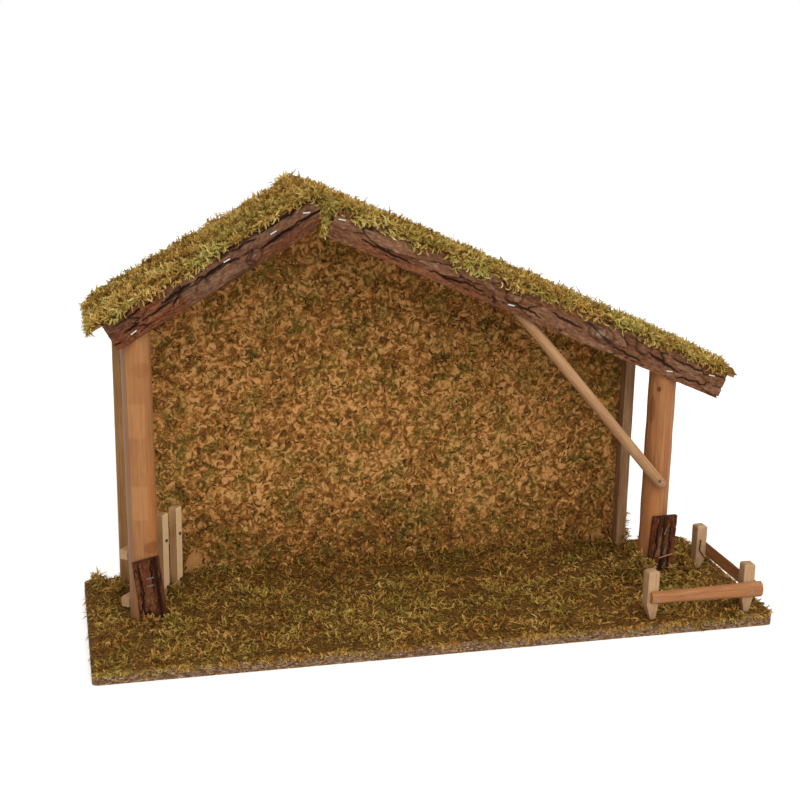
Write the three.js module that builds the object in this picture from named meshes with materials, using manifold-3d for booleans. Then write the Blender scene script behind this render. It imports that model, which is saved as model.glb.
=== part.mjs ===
// Nativity stable: an open-fronted rustic shelter on a moss-covered board, with a small fenced yard.
// Sizes are in millimetres and Z is up. The origin is the middle of the board's underside.
// +X points to the right and the open front faces -Y.

import * as THREE from 'three';
import { mergeVertices } from 'three/addons/utils/BufferGeometryUtils.js';
import Module from 'manifold-3d';

const wasm = await Module();
wasm.setup();

// Fit of neighbouring pieces
const seatGap = 0.3;

// Base board
const boardLength = 600;
const boardDepth = 200;
const boardThickness = 10;
const boardCornerRadius = 5;

// Front frame: two round posts whose fronts lie in one plane, set in from the ends of the board
const frontFrameSetback = 94;
const leftPostInset = 50;
const leftPostDiameter = 25.6;
const leftPostBow = 1.5;
const rightPostInset = 74;
const rightPostDiameter = 25.5;

// Back frame: two sawn battens with the wall board nailed behind them
const leftBattenInset = 38;
const rightBattenInset = 72.5;
const battenWidth = 10;
const battenDepth = 12;
const wallThickness = 3;
const wallOverhang = 1.5;
const wallSkinThickness = 1.2;
const wallSkinFoot = 16;

// Roof: two thin boards on rafters, with unequal slopes
const ridgeShare = 0.3275;
const ridgeHeight = 379;
const leftPitch = THREE.MathUtils.degToRad(30);
const rightPitch = THREE.MathUtils.degToRad(23.3);
const leftEaveInset = 12;
const rightEaveInset = 8;
const roofThickness = 3;
const roofBackInset = 1;
const rafterHeight = 10;
const rafterWidth = 10;
const rafterEndInset = 16;

// Moss
const groundMossHeight = 3.6;
const groundMossHeap = 7;
const roofMossHeight = 5;

// Bark barge strips along the front edges of the roof
const stripWidth = 27;
const stripThickness = 6;
const stripEaveInset = 8;
const ridgeTongueLength = 14;
const stripEndGap = 1;
const stripEdgeBreak = 1.6;
const stripEdgeBreakSpacing = 13;

// Diagonal brace from the right rafter down to the front of the right post
const braceDiameter = 10;
const braceFootHeight = 106;
const braceAngle = THREE.MathUtils.degToRad(49.4);
const braceTopInset = 1.5;
const braceNailFromEnd = 9.5;

// Bark slabs in front of the feet of the posts
const slabThickness = 6;
const leftSlab = {
  footOffset: 7, footWidth: 24.5, topOffset: 0.8, topWidth: 24, leftHeight: 57, rightHeight: 62, groove: 0.8,
};
const rightSlab = {
  footOffset: 1.5, footWidth: 25.5, topOffset: 5, topWidth: 24.5, leftHeight: 66, rightHeight: 66.5, groove: 0.5,
};

// Yard fence at the right: three pegs, a front rail and a side rail
const pegSide = 10.8;
const pegHeight = 47;
const pegFootSide = 4.5;
const pegFootTaper = 15;
const innerPegFootShift = 2.6;
const cornerPegFootShift = 0.8;
const rearPegFootShift = -2.6;
const pegTopChamfer = 1.6;
const yardPegSetback = 12;
const yardEndInset = 23;
const yardLength = 92;
const yardDepth = 99;
const railCentreHeight = 23.5;
const frontRailThickness = 6;
const frontRailStartHeight = 11;
const frontRailEndHeight = 15;
const frontRailStartOverhang = 2.5;
const frontRailEndOverhang = 11.5;
const sideRailHeight = 12.5;
const sideRailThickness = 4;
const sideRailRearOverhang = 4.5;
const sideRailFrontInset = 2.5;

// Fence panel behind the left post: two rails with two pickets on them
const panelAngle = THREE.MathUtils.degToRad(51);
const panelRailDepth = 8.5;
const panelRailHeight = 9;
const panelRailStart = -5;
const panelWallClearance = 28;
const lowerPanelRailCentre = 12;
const upperPanelRailCentre = 56.4;
const picketSide = 8.5;
const picketHeight = 82;
const picketFootSide = 4;
const picketFootTaper = 14;
const picketFootShift = -1.8;
const picketTopChamfer = 1.2;
const farPicketFromEnd = 5;
const picketSpacing = 21.2;

// Nails, screws and staples
const nail = { shank: 1.4, head: 3, headThickness: 0.7 };
const screw = { shank: 2.6, head: 6, headThickness: 2 };
const screwRecess = 0.5;
const staple = { crown: 6, breadth: 1, wire: 0.6, leg: 9.5 };
const stapleSink = 1.2;
const fastenerSides = 8;

// Fineness of the round and lumpy surfaces
const postSides = 18;
const postRings = 10;
const braceSides = 14;
const railArcSteps = 8;
const barkCell = 4.4;
const barkColumns = 8;
const mossCell = 10.5;

// Places that follow from the sizes above
const boardLeftX = -boardLength / 2;
const boardRightX = boardLength / 2;
const boardFrontY = -boardDepth / 2;
const boardBackY = boardDepth / 2;
const leftPostX = boardLeftX + leftPostInset;
const rightPostX = boardRightX - rightPostInset;
const leftBattenX = boardLeftX + leftBattenInset;
const rightBattenX = boardRightX - rightBattenInset;
const ridgeX = boardLeftX + boardLength * ridgeShare;
const leftEaveX = boardLeftX + leftEaveInset;
const rightEaveX = boardRightX - rightEaveInset;
const leftStripEndX = leftEaveX + stripEaveInset;
const rightStripEndX = rightEaveX - stripEaveInset;
const outerPegX = boardRightX - yardEndInset;
const innerPegX = outerPegX - yardLength;
const yardPegY = boardFrontY + yardPegSetback;
const rearPegY = yardPegY + yardDepth;
const standHeight = boardThickness + seatGap;
const frameFrontY = boardFrontY + frontFrameSetback;
const wallFrontY = boardBackY - wallThickness;
const backFrameY = wallFrontY - seatGap;
const wallSkinY = backFrameY - wallSkinThickness;
const stripBackY = frameFrontY - seatGap;
const roofBackY = boardBackY - roofBackInset;
const rafterDrop = roofThickness + seatGap;
const postDrop = rafterDrop + rafterHeight + seatGap;
const leftPost = { x: leftPostX, y: frameFrontY + leftPostDiameter / 2, radius: leftPostDiameter / 2 };
const rightPost = { x: rightPostX, y: frameFrontY + rightPostDiameter / 2, radius: rightPostDiameter / 2 };

// Height of the roof's upper face at x, lowered by a drop measured square to the slope
function roofAt(x, drop = 0) {
  const pitch = x < ridgeX ? leftPitch : rightPitch;
  const run = Math.abs(x - ridgeX);
  return ridgeHeight - run * Math.tan(pitch) - drop / Math.cos(pitch);
}

// Height at the ridge of something that fills the gable at the same drop under both slopes
function ridgeAt(drop) {
  return ridgeHeight - drop / Math.cos(Math.max(leftPitch, rightPitch));
}

// Smooth noise from 0 to 1, the same on every run
function lattice(i, j, seed) {
  let h = (i * 374761393 + j * 668265263 + seed * 974634777) | 0;
  h = Math.imul(h ^ (h >>> 13), 1274126177);
  return ((h ^ (h >>> 16)) >>> 0) / 4294967295;
}

function noise(x, y, seed) {
  const i = Math.floor(x);
  const j = Math.floor(y);
  const u = THREE.MathUtils.smoothstep(x - i, 0, 1);
  const v = THREE.MathUtils.smoothstep(y - j, 0, 1);
  const low = THREE.MathUtils.lerp(lattice(i, j, seed), lattice(i + 1, j, seed), u);
  const high = THREE.MathUtils.lerp(lattice(i, j + 1, seed), lattice(i + 1, j + 1, seed), u);
  return THREE.MathUtils.lerp(low, high, v);
}

// Closed solid from a grid of points on its face and the same grid on its flat back
function slabFromGrid(columns, rows, facePoint, backPoint) {
  const points = [];
  const index = [];
  const face = (i, j) => i * (rows + 1) + j;
  for (let i = 0; i <= columns; i++) {
    for (let j = 0; j <= rows; j++) points.push(...facePoint(i / columns, j / rows));
  }
  for (let i = 0; i < columns; i++) {
    for (let j = 0; j < rows; j++) {
      index.push(face(i, j), face(i + 1, j), face(i + 1, j + 1));
      index.push(face(i, j), face(i + 1, j + 1), face(i, j + 1));
    }
  }
  const rim = [];
  for (let i = 0; i < columns; i++) rim.push([i, 0]);
  for (let j = 0; j < rows; j++) rim.push([columns, j]);
  for (let i = columns; i > 0; i--) rim.push([i, rows]);
  for (let j = rows; j > 0; j--) rim.push([0, j]);
  const firstBack = points.length / 3;
  for (const [i, j] of rim) points.push(...backPoint(i / columns, j / rows));
  rim.forEach(([i, j], k) => {
    const next = (k + 1) % rim.length;
    const here = face(i, j);
    const there = face(...rim[next]);
    index.push(here, firstBack + k, there);
    index.push(there, firstBack + k, firstBack + next);
  });
  const flat = rim.map(([i, j]) => new THREE.Vector2(i / columns, j / rows));
  for (const [a, b, c] of THREE.ShapeUtils.triangulateShape(flat, [])) {
    index.push(firstBack + c, firstBack + b, firstBack + a);
  }
  return pointsToGeometry(points, index);
}

function pointsToGeometry(points, index) {
  const geometry = new THREE.BufferGeometry();
  geometry.setAttribute('position', new THREE.Float32BufferAttribute(points, 3));
  geometry.setIndex(index);
  return geometry;
}

// Closed solid through a stack of rings, each a list of points in the same turning sense
function loft(rings) {
  const count = rings[0].length;
  const points = rings.flat(2);
  const index = [];
  for (let r = 0; r + 1 < rings.length; r++) {
    for (let k = 0; k < count; k++) {
      const a = r * count + k;
      const b = r * count + ((k + 1) % count);
      index.push(a, b, b + count, a, b + count, a + count);
    }
  }
  const top = (rings.length - 1) * count;
  for (let k = 1; k + 1 < count; k++) {
    index.push(0, k + 1, k);
    index.push(top, top + k, top + k + 1);
  }
  return pointsToGeometry(points, index);
}

function squareRing(x, y, z, side, turn) {
  const ring = [];
  for (let k = 0; k < 4; k++) {
    const angle = turn + Math.PI / 4 + (k * Math.PI) / 2;
    const reach = side / Math.SQRT2;
    ring.push([x + reach * Math.cos(angle), y + reach * Math.sin(angle), z]);
  }
  return ring;
}

// Prism with its outline in the XZ plane and its length along Y
function prismAlongY(outline, frontY, backY) {
  const shape = new THREE.Shape(outline.map(([x, z]) => new THREE.Vector2(x, z)));
  const geometry = new THREE.ExtrudeGeometry(shape, { depth: backY - frontY, bevelEnabled: false });
  geometry.rotateX(Math.PI / 2);
  geometry.translate(0, backY, 0);
  return geometry;
}

// Solids for joining and cutting
function toSolid(geometry) {
  const bare = geometry.clone();
  bare.deleteAttribute('normal');
  bare.deleteAttribute('uv');
  const merged = mergeVertices(bare, 1e-4);
  const vertProperties = Float32Array.from(merged.attributes.position.array);
  const triVerts = Uint32Array.from(merged.index.array);
  return new wasm.Manifold(new wasm.Mesh({ numProp: 3, vertProperties, triVerts }));
}

function toGeometry(solid) {
  const mesh = solid.getMesh();
  return pointsToGeometry(Array.from(mesh.vertProperties), Array.from(mesh.triVerts));
}

// The pieces, by name, as solids with the finish that each one has
const pieces = new Map();

function addPiece(name, geometry, finish) {
  pieces.set(name, { solid: toSolid(geometry), finish });
}

function cutPiece(name, tool) {
  const piece = pieces.get(name);
  piece.solid = piece.solid.subtract(tool);
}

const finish = {
  chipboard: { color: 0x8d6f56, roughness: 0.95 },
  moss: { color: 0x8a7a2c, roughness: 1 },
  wallFlakes: { color: 0xa8803c, roughness: 0.95 },
  fibreboard: { color: 0xb98a52, roughness: 0.8 },
  peeledWood: { color: 0xc07a3e, roughness: 0.6 },
  greyWood: { color: 0x7a5a3a, roughness: 0.75 },
  paleWood: { color: 0xd6b583, roughness: 0.6 },
  bark: { color: 0x6b3a22, roughness: 0.9 },
  redWood: { color: 0xc9703a, roughness: 0.6 },
  steel: { color: 0xb8b8b4, roughness: 0.35, metalness: 0.9 },
};

// Base board with rounded corners
function roundedBoard() {
  const x = boardLength / 2;
  const y = boardDepth / 2;
  const r = boardCornerRadius;
  const shape = new THREE.Shape();
  shape.absarc(x - r, y - r, r, 0, Math.PI / 2);
  shape.absarc(r - x, y - r, r, Math.PI / 2, Math.PI);
  shape.absarc(r - x, r - y, r, Math.PI, Math.PI * 1.5);
  shape.absarc(x - r, r - y, r, Math.PI * 1.5, Math.PI * 2);
  return new THREE.ExtrudeGeometry(shape, {
    depth: boardThickness, bevelEnabled: false, curveSegments: 4,
  });
}

addPiece('base_board', roundedBoard(), finish.chipboard);

// Round posts: natural sticks with the bark peeled off, cut to the slope of the rafter above
function roundPost(post, bow, roughness, seed) {
  const rings = [];
  for (let r = 0; r <= postRings; r++) {
    const t = r / postRings;
    const ring = [];
    for (let k = 0; k < postSides; k++) {
      const angle = (k / postSides) * Math.PI * 2;
      const wobble = noise(k * 0.45 + 3, t * 5, seed) * roughness;
      const reach = post.radius * (1 - wobble);
      const x = post.x + reach * Math.cos(angle) - bow * t * t;
      const y = post.y + reach * Math.sin(angle);
      const top = roofAt(x, postDrop);
      ring.push([x, y, THREE.MathUtils.lerp(standHeight, top, t)]);
    }
    rings.push(ring);
  }
  return loft(rings);
}

addPiece('front_left_post', roundPost(leftPost, leftPostBow, 0.03, 5), finish.peeledWood);
addPiece('front_right_post', roundPost(rightPost, 0, 0.06, 9), finish.peeledWood);

// Square battens of the back frame, cut to the slope of the rafter above
function backBatten(x) {
  const left = x - battenWidth / 2;
  const right = x + battenWidth / 2;
  const outline = [
    [left, standHeight],
    [right, standHeight],
    [right, roofAt(right, postDrop)],
    [left, roofAt(left, postDrop)],
  ];
  return prismAlongY(outline, backFrameY - battenDepth, backFrameY);
}

addPiece('back_left_batten', backBatten(leftBattenX), finish.peeledWood);
addPiece('back_right_batten', backBatten(rightBattenX), finish.greyWood);

// Outline of a bar that lies along one roof slope: plumb cut at the ridge, square cut at the eave
function slopeOutline(side, topDrop, height, endX) {
  const pitch = side < 0 ? leftPitch : rightPitch;
  const ridgeEnd = ridgeX + (side * seatGap) / 2;
  const shift = -side * height * Math.sin(pitch);
  const topOuter = [endX, roofAt(endX, topDrop)];
  const bottomOuter = [endX + shift, topOuter[1] - height * Math.cos(pitch)];
  const bottomRidge = [ridgeEnd, roofAt(ridgeEnd, topDrop + height)];
  const topRidge = [ridgeEnd, roofAt(ridgeEnd, topDrop)];
  const outline = [topOuter, bottomOuter, bottomRidge, topRidge];
  return side < 0 ? outline : outline.reverse();
}

const slopes = [
  { name: 'left', side: -1, eaveX: leftEaveX, rafterX: leftEaveX + rafterEndInset },
  { name: 'right', side: 1, eaveX: rightEaveX, rafterX: rightEaveX - rafterEndInset },
];
for (const slope of slopes) {
  const board = slopeOutline(slope.side, 0, roofThickness, slope.eaveX);
  const rafter = slopeOutline(slope.side, rafterDrop, rafterHeight, slope.rafterX);
  const frontRafter = prismAlongY(rafter, frameFrontY, frameFrontY + rafterWidth);
  const backRafter = prismAlongY(rafter, backFrameY - rafterWidth, backFrameY);
  addPiece(`roof_board_${slope.name}`, prismAlongY(board, frameFrontY, roofBackY), finish.fibreboard);
  addPiece(`front_rafter_${slope.name}`, frontRafter, finish.greyWood);
  addPiece(`back_rafter_${slope.name}`, backRafter, finish.greyWood);
}

// Back wall, a thin board that fills the gable behind the battens
const wallLeftX = leftBattenX - battenWidth / 2;
const wallRightX = rightBattenX + battenWidth / 2 + wallOverhang;
const wallOutline = [
  [wallLeftX, standHeight], [wallRightX, standHeight], [wallRightX, roofAt(wallRightX, rafterDrop)],
  [ridgeX, ridgeAt(rafterDrop)], [wallLeftX, roofAt(wallLeftX, rafterDrop)],
];
addPiece('back_wall', prismAlongY(wallOutline, wallFrontY, boardBackY), finish.fibreboard);

// Crumbled moss and bark glued on the wall between the battens, with a ragged foot
function wallSkin() {
  const left = leftBattenX + battenWidth / 2 + seatGap;
  const right = rightBattenX - battenWidth / 2 - seatGap;
  const outline = [];
  const steps = 24;
  for (let k = 0; k <= steps; k++) {
    const x = THREE.MathUtils.lerp(left, right, k / steps);
    outline.push([x, boardThickness + wallSkinFoot * noise(k * 0.7, 0.5, 21)]);
  }
  outline.push([right, roofAt(right, postDrop)]);
  outline.push([ridgeX, ridgeAt(postDrop)]);
  outline.push([left, roofAt(left, postDrop)]);
  return prismAlongY(outline, wallSkinY, backFrameY);
}

addPiece('wall_moss_flakes', wallSkin(), finish.wallFlakes);

// Moss mats: a lumpy top over a level or sloping bed
function mossMat(left, right, front, back, bedAt, heightAt) {
  const columns = Math.round(Math.abs(right - left) / mossCell);
  const rows = Math.round((back - front) / mossCell);
  const place = (u, v) => [THREE.MathUtils.lerp(left, right, u), THREE.MathUtils.lerp(front, back, v)];
  const face = (u, v) => {
    const [x, y] = place(u, v);
    return [x, y, bedAt(x) + heightAt(x, y)];
  };
  const bed = (u, v) => {
    const [x, y] = place(u, v);
    return [x, y, bedAt(x)];
  };
  return slabFromGrid(columns, rows, face, bed);
}

function mossLumps(x, y, seed) {
  return 0.6 * noise(x / 17, y / 17, seed) + 0.4 * noise(x / 8, y / 8, seed + 1);
}

function groundMossHeightAt(x, y) {
  const nearPost = Math.hypot(x - rightPost.x - 20, y - rightPost.y - 18) / 60;
  const heap = groundMossHeap * Math.exp(-nearPost * nearPost * 2);
  return groundMossHeight * (0.55 + 0.75 * mossLumps(x, y, 31)) + heap;
}

const groundMossInset = 1;
const groundMoss = mossMat(
  boardLeftX + groundMossInset, boardRightX - groundMossInset,
  boardFrontY + groundMossInset, wallSkinY - seatGap,
  () => standHeight, groundMossHeightAt,
);
addPiece('ground_moss', groundMoss, finish.moss);

// The roof moss lies on the boards and reaches out over the top edge of the bark strips
const roofMossFrontY = stripBackY - stripThickness + 1;
const roofMossEaveInset = 1;
for (const slope of slopes) {
  const eave = slope.eaveX - slope.side * roofMossEaveInset;
  const ridgeEnd = ridgeX + (slope.side * seatGap) / 2;
  const bedAt = (x) => roofAt(x) + seatGap / Math.cos(leftPitch);
  const heightAt = (x, y) => roofMossHeight * (0.6 + 0.9 * mossLumps(x, y, 47));
  const left = Math.min(eave, ridgeEnd);
  const right = Math.max(eave, ridgeEnd);
  const mat = mossMat(left, right, roofMossFrontY, roofBackY, bedAt, heightAt);
  addPiece(`roof_moss_${slope.name}`, mat, finish.moss);
}

// Pine bark: long plates with dark cracks between them, thinner towards the edges of the piece
function barkRelief(along, across, seed) {
  const plates = Math.abs(2 * noise(along / 24, across / 5.5, seed) - 1);
  const flakes = noise(along / 9, across / 4, seed + 7);
  return 0.5 + 0.32 * Math.min(1, plates * 2.2) + 0.18 * flakes;
}

// Bark plate between two edges, each a function of the way along it that gives [x, z]
function barkPlate(edgeA, edgeB, length, width, thickness, seed, groove, endReach = () => 0) {
  const columns = Math.max(4, Math.round(length / barkCell));
  const rows = barkColumns;
  const onPlate = (u, v) => {
    const a = edgeA(u);
    const b = edgeB(u);
    const reach = u === 1 ? endReach(v) : 0;
    return [THREE.MathUtils.lerp(a[0], b[0], v) + reach, THREE.MathUtils.lerp(a[1], b[1], v)];
  };
  const face = (u, v) => {
    const [x, z] = onPlate(u, v);
    const rounding = 0.72 + 0.28 * Math.sqrt(1 - (2 * v - 1) ** 2);
    const crack = groove === null ? 0 : 0.35 * Math.exp(-(((v - groove) * 9) ** 2));
    const depth = thickness * (barkRelief(u * length, v * width, seed) * rounding - crack);
    return [x, stripBackY - depth, z];
  };
  const back = (u, v) => {
    const [x, z] = onPlate(u, v);
    return [x, stripBackY, z];
  };
  return slabFromGrid(columns, rows, face, back);
}

// Bark strips: the left one ends in a tongue over the ridge and the right one starts beside it
function towardsEave(side, drop, endX) {
  const pitch = side < 0 ? leftPitch : rightPitch;
  const x = endX - side * drop * Math.sin(pitch);
  return [x, roofAt(endX) - drop * Math.cos(pitch)];
}

function lineBetween(from, to) {
  return (t) => [THREE.MathUtils.lerp(from[0], to[0], t), THREE.MathUtils.lerp(from[1], to[1], t)];
}

// The foot edge of a strip is broken unevenly along its length
function brokenEdge(line, length, seed) {
  return (t) => {
    const [x, z] = line(t);
    return [x, z + stripEdgeBreak * noise((t * length) / stripEdgeBreakSpacing, 0.5, seed)];
  };
}

const tongueTip = ridgeX + ridgeTongueLength;
const leftStripTop = lineBetween([leftStripEndX, roofAt(leftStripEndX)], [ridgeX, roofAt(ridgeX)]);
const leftStripLength = (ridgeX - leftStripEndX) / Math.cos(leftPitch);
const leftStripFoot = brokenEdge(lineBetween(
  towardsEave(-1, stripWidth, leftStripEndX),
  [ridgeX, ridgeHeight - stripWidth / Math.cos(leftPitch) + 1],
), leftStripLength, 63);
const tonguePlace = 0.42;
const tongueReach = (v) => ridgeTongueLength * Math.max(0, 1 - 2 * Math.abs(v - tonguePlace));
addPiece('bark_strip_left', barkPlate(
  leftStripFoot, leftStripTop, leftStripLength, stripWidth, stripThickness, 61, null, tongueReach,
), finish.bark);

const rightStripStart = tongueTip + stripEndGap;
const stripStartLean = 12;
const rightStripTop = lineBetween(
  [rightStripStart + stripStartLean / 2, roofAt(rightStripStart + stripStartLean / 2)],
  [rightStripEndX, roofAt(rightStripEndX)],
);
const rightStripFootStart = rightStripStart - stripStartLean / 2;
const rightStripLength = (rightStripEndX - rightStripStart) / Math.cos(rightPitch);
const rightStripFoot = brokenEdge(lineBetween(
  [rightStripFootStart, roofAt(rightStripFootStart, stripWidth)],
  towardsEave(1, stripWidth, rightStripEndX),
), rightStripLength, 73);
addPiece('bark_strip_right', barkPlate(
  rightStripFoot, rightStripTop, rightStripLength, stripWidth, stripThickness, 71, null,
), finish.bark);

// Bark slabs that stand in front of the posts
function postSlab(post, slab, seed) {
  const left = lineBetween(
    [post.x + slab.footOffset - slab.footWidth / 2, standHeight],
    [post.x + slab.topOffset - slab.topWidth / 2, standHeight + slab.leftHeight],
  );
  const right = lineBetween(
    [post.x + slab.footOffset + slab.footWidth / 2, standHeight],
    [post.x + slab.topOffset + slab.topWidth / 2, standHeight + slab.rightHeight],
  );
  return barkPlate(right, left, slab.leftHeight, slab.topWidth, slabThickness, seed, 1 - slab.groove);
}

addPiece('left_post_bark', postSlab(leftPost, leftSlab, 81), finish.bark);
addPiece('right_post_bark', postSlab(rightPost, rightSlab, 91), finish.bark);

// Diagonal brace: a round stick with a domed lower end, its top cut to the underside of the rafter
const braceRadius = braceDiameter / 2;
const braceFoot = new THREE.Vector3(
  rightPost.x, rightPost.y - rightPost.radius - seatGap - braceRadius, braceFootHeight,
);
const braceRun = (ridgeHeight - (braceFoot.x - ridgeX) * Math.tan(rightPitch) - braceFoot.z
  - postDrop / Math.cos(rightPitch)) / (Math.tan(braceAngle) - Math.tan(rightPitch));
const braceTop = new THREE.Vector3(
  braceFoot.x - braceRun,
  frameFrontY + braceRadius + braceTopInset,
  braceFoot.z + braceRun * Math.tan(braceAngle),
);
const braceAxis = braceTop.clone().sub(braceFoot);
const braceLength = braceAxis.length();
braceAxis.normalize();

function braceStick() {
  const profile = [new THREE.Vector2(0, 0)];
  const domeSteps = 3;
  for (let k = 1; k <= domeSteps; k++) {
    const angle = (k / domeSteps) * (Math.PI / 2);
    profile.push(new THREE.Vector2(braceRadius * Math.sin(angle), braceRadius * (1 - Math.cos(angle))));
  }
  profile.push(new THREE.Vector2(braceRadius, braceLength + braceDiameter));
  profile.push(new THREE.Vector2(0, braceLength + braceDiameter));
  const stick = new THREE.LatheGeometry(profile, braceSides);
  stick.applyQuaternion(new THREE.Quaternion().setFromUnitVectors(new THREE.Vector3(0, 1, 0), braceAxis));
  stick.translate(braceFoot.x, braceFoot.y, braceFoot.z);
  return stick;
}

// Everything above the line of the rafters' undersides, for trimming what butts against them
function aboveRafters() {
  const reach = boardLength / 2;
  const lid = ridgeHeight * 1.5;
  const outline = [
    [-reach, roofAt(-reach, postDrop)], [ridgeX, ridgeAt(postDrop)], [reach, roofAt(reach, postDrop)],
    [reach, lid], [-reach, lid],
  ];
  return toSolid(prismAlongY(outline, boardFrontY, boardBackY));
}

addPiece('corner_brace', braceStick(), finish.paleWood);
cutPiece('corner_brace', aboveRafters());

// Square pegs and pickets with chamfered tops, whittled at the foot from one side more than the other
function squarePeg(x, y, side, height, footSide, footTaper, footShift, chamfer, turn, growth = 0) {
  const foot = standHeight - growth;
  const top = standHeight + height + growth;
  const footX = x + footShift * Math.cos(turn);
  const footY = y + footShift * Math.sin(turn);
  return loft([
    squareRing(footX, footY, foot, footSide + 2 * growth, turn),
    squareRing(x, y, standHeight + footTaper, side + 2 * growth, turn),
    squareRing(x, y, top - chamfer, side + 2 * growth, turn),
    squareRing(x, y, top, side - 2 * chamfer + 2 * growth, turn),
  ]);
}

const pegs = [
  { name: 'yard_peg_inner', x: innerPegX, y: yardPegY, footShift: innerPegFootShift },
  { name: 'yard_peg_corner', x: outerPegX, y: yardPegY, footShift: cornerPegFootShift },
  { name: 'yard_peg_rear', x: outerPegX, y: rearPegY, footShift: rearPegFootShift },
].map((peg) => ({
  ...peg,
  side: pegSide,
  height: pegHeight,
  foot: pegFootSide,
  taper: pegFootTaper,
  chamfer: pegTopChamfer,
  turn: 0,
}));

// The fence panel runs along a slanting line that just clears the back of the left post
const panelAlong = new THREE.Vector3(Math.cos(panelAngle), Math.sin(panelAngle), 0);
const panelFace = new THREE.Vector3(Math.sin(panelAngle), -Math.cos(panelAngle), 0);
const panelOrigin = new THREE.Vector3(leftPost.x, leftPost.y, 0);
panelOrigin.addScaledVector(panelFace, -(leftPost.radius + seatGap));
const panelRailEnd = (wallSkinY - panelWallClearance - panelOrigin.y) / Math.sin(panelAngle);
const farPicketPlace = panelRailEnd - farPicketFromEnd;
const nearPicketPlace = farPicketPlace - picketSpacing;

function onPanel(place, out, height) {
  return panelOrigin.clone()
    .addScaledVector(panelAlong, place)
    .addScaledVector(panelFace, out)
    .setZ(height);
}

const pickets = [
  { name: 'left_picket_near', place: nearPicketPlace },
  { name: 'left_picket_far', place: farPicketPlace },
].map(({ name, place }) => {
  const centre = onPanel(place, seatGap + picketSide / 2, 0);
  return {
    name,
    place,
    x: centre.x,
    y: centre.y,
    side: picketSide,
    height: picketHeight,
    foot: picketFootSide,
    taper: picketFootTaper,
    footShift: picketFootShift,
    chamfer: picketTopChamfer,
    turn: panelAngle,
  };
});

const stakes = [...pegs, ...pickets];

function stake(s, growth = 0) {
  return squarePeg(s.x, s.y, s.side, s.height, s.foot, s.taper, s.footShift, s.chamfer, s.turn, growth);
}

for (const s of stakes) addPiece(s.name, stake(s), finish.paleWood);

// Sawn rails of the left panel
function panelRail(centreHeight) {
  const low = boardThickness + centreHeight - panelRailHeight / 2;
  const high = low + panelRailHeight;
  const corners = [
    [panelRailStart, -panelRailDepth],
    [panelRailStart, 0],
    [panelRailEnd, 0],
    [panelRailEnd, -panelRailDepth],
  ];
  const ring = (height) => corners.map(([place, out]) => onPanel(place, out, height).toArray());
  return loft([ring(low), ring(high)]);
}

addPiece('left_rail_lower', panelRail(lowerPanelRailCentre), finish.paleWood);
addPiece('left_rail_upper', panelRail(upperPanelRailCentre), finish.paleWood);

// Split rails of the yard: a flat side on the pegs and a rounded side outwards
function splitRail(from, to, outward, startHeight, endHeight, thickness) {
  const ring = (centre, height) => {
    const points = [];
    for (let k = 0; k <= railArcSteps; k++) {
      const angle = (k / railArcSteps) * Math.PI;
      const up = (height / 2) * Math.cos(angle);
      const out = thickness * Math.sin(angle);
      points.push(centre.clone().addScaledVector(outward, out).add(new THREE.Vector3(0, 0, up)).toArray());
    }
    return points;
  };
  return loft([ring(from, startHeight), ring(to, endHeight)]);
}

const railHeight = boardThickness + railCentreHeight;
const frontRailBackY = yardPegY - pegSide / 2 - seatGap;
const sideRailBackX = outerPegX + pegSide / 2 + seatGap;
const outFront = new THREE.Vector3(0, -1, 0);
const outRight = new THREE.Vector3(1, 0, 0);
const frontRailStart = new THREE.Vector3(innerPegX - frontRailStartOverhang, frontRailBackY, railHeight);
const frontRailEnd = new THREE.Vector3(outerPegX + frontRailEndOverhang, frontRailBackY, railHeight);
addPiece('yard_rail_front', splitRail(
  frontRailStart, frontRailEnd, outFront, frontRailStartHeight, frontRailEndHeight, frontRailThickness,
), finish.redWood);
const sideRailFrontY = yardPegY - pegSide / 2 + sideRailFrontInset;
const sideRailFront = new THREE.Vector3(sideRailBackX, sideRailFrontY, railHeight);
const sideRailRear = new THREE.Vector3(sideRailBackX, rearPegY + sideRailRearOverhang, railHeight);
addPiece('yard_rail_side', splitRail(
  sideRailFront, sideRailRear, outRight, sideRailHeight, sideRailHeight, sideRailThickness,
), finish.redWood);

// Holes in the moss mat for everything that stands on the board
function uprightHole(x, y, width, depth) {
  const hole = new THREE.BoxGeometry(width + 2 * seatGap, depth + 2 * seatGap, ridgeHeight);
  hole.translate(x, y, ridgeHeight / 2);
  return toSolid(hole);
}

for (const post of [leftPost, rightPost]) {
  const radius = post.radius + 2 * seatGap;
  const hole = new THREE.CylinderGeometry(radius, radius, ridgeHeight, postSides);
  hole.rotateX(Math.PI / 2);
  hole.translate(post.x, post.y, ridgeHeight / 2);
  cutPiece('ground_moss', toSolid(hole));
}
const battenY = backFrameY - battenDepth / 2;
for (const x of [leftBattenX, rightBattenX]) {
  cutPiece('ground_moss', uprightHole(x, battenY, battenWidth, battenDepth));
}
for (const [post, slab] of [[leftPost, leftSlab], [rightPost, rightSlab]]) {
  const y = stripBackY - slabThickness / 2;
  cutPiece('ground_moss', uprightHole(post.x + slab.footOffset, y, slab.footWidth + 2, slabThickness));
}
for (const s of stakes) cutPiece('ground_moss', toSolid(stake(s, seatGap)));

// Round fasteners turned about their axis, with the head's underside at the given point
function roundFastener(size, length, growth, outside) {
  const shank = size.shank / 2 + growth;
  const head = size.head / 2 + growth;
  const profile = [
    [0, -length - growth], [shank, -length + size.shank - growth], [shank, -growth], [head, -growth],
    [head, outside], [0, outside],
  ];
  return new THREE.LatheGeometry(profile.map(([r, y]) => new THREE.Vector2(r, y)), fastenerSides);
}

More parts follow.
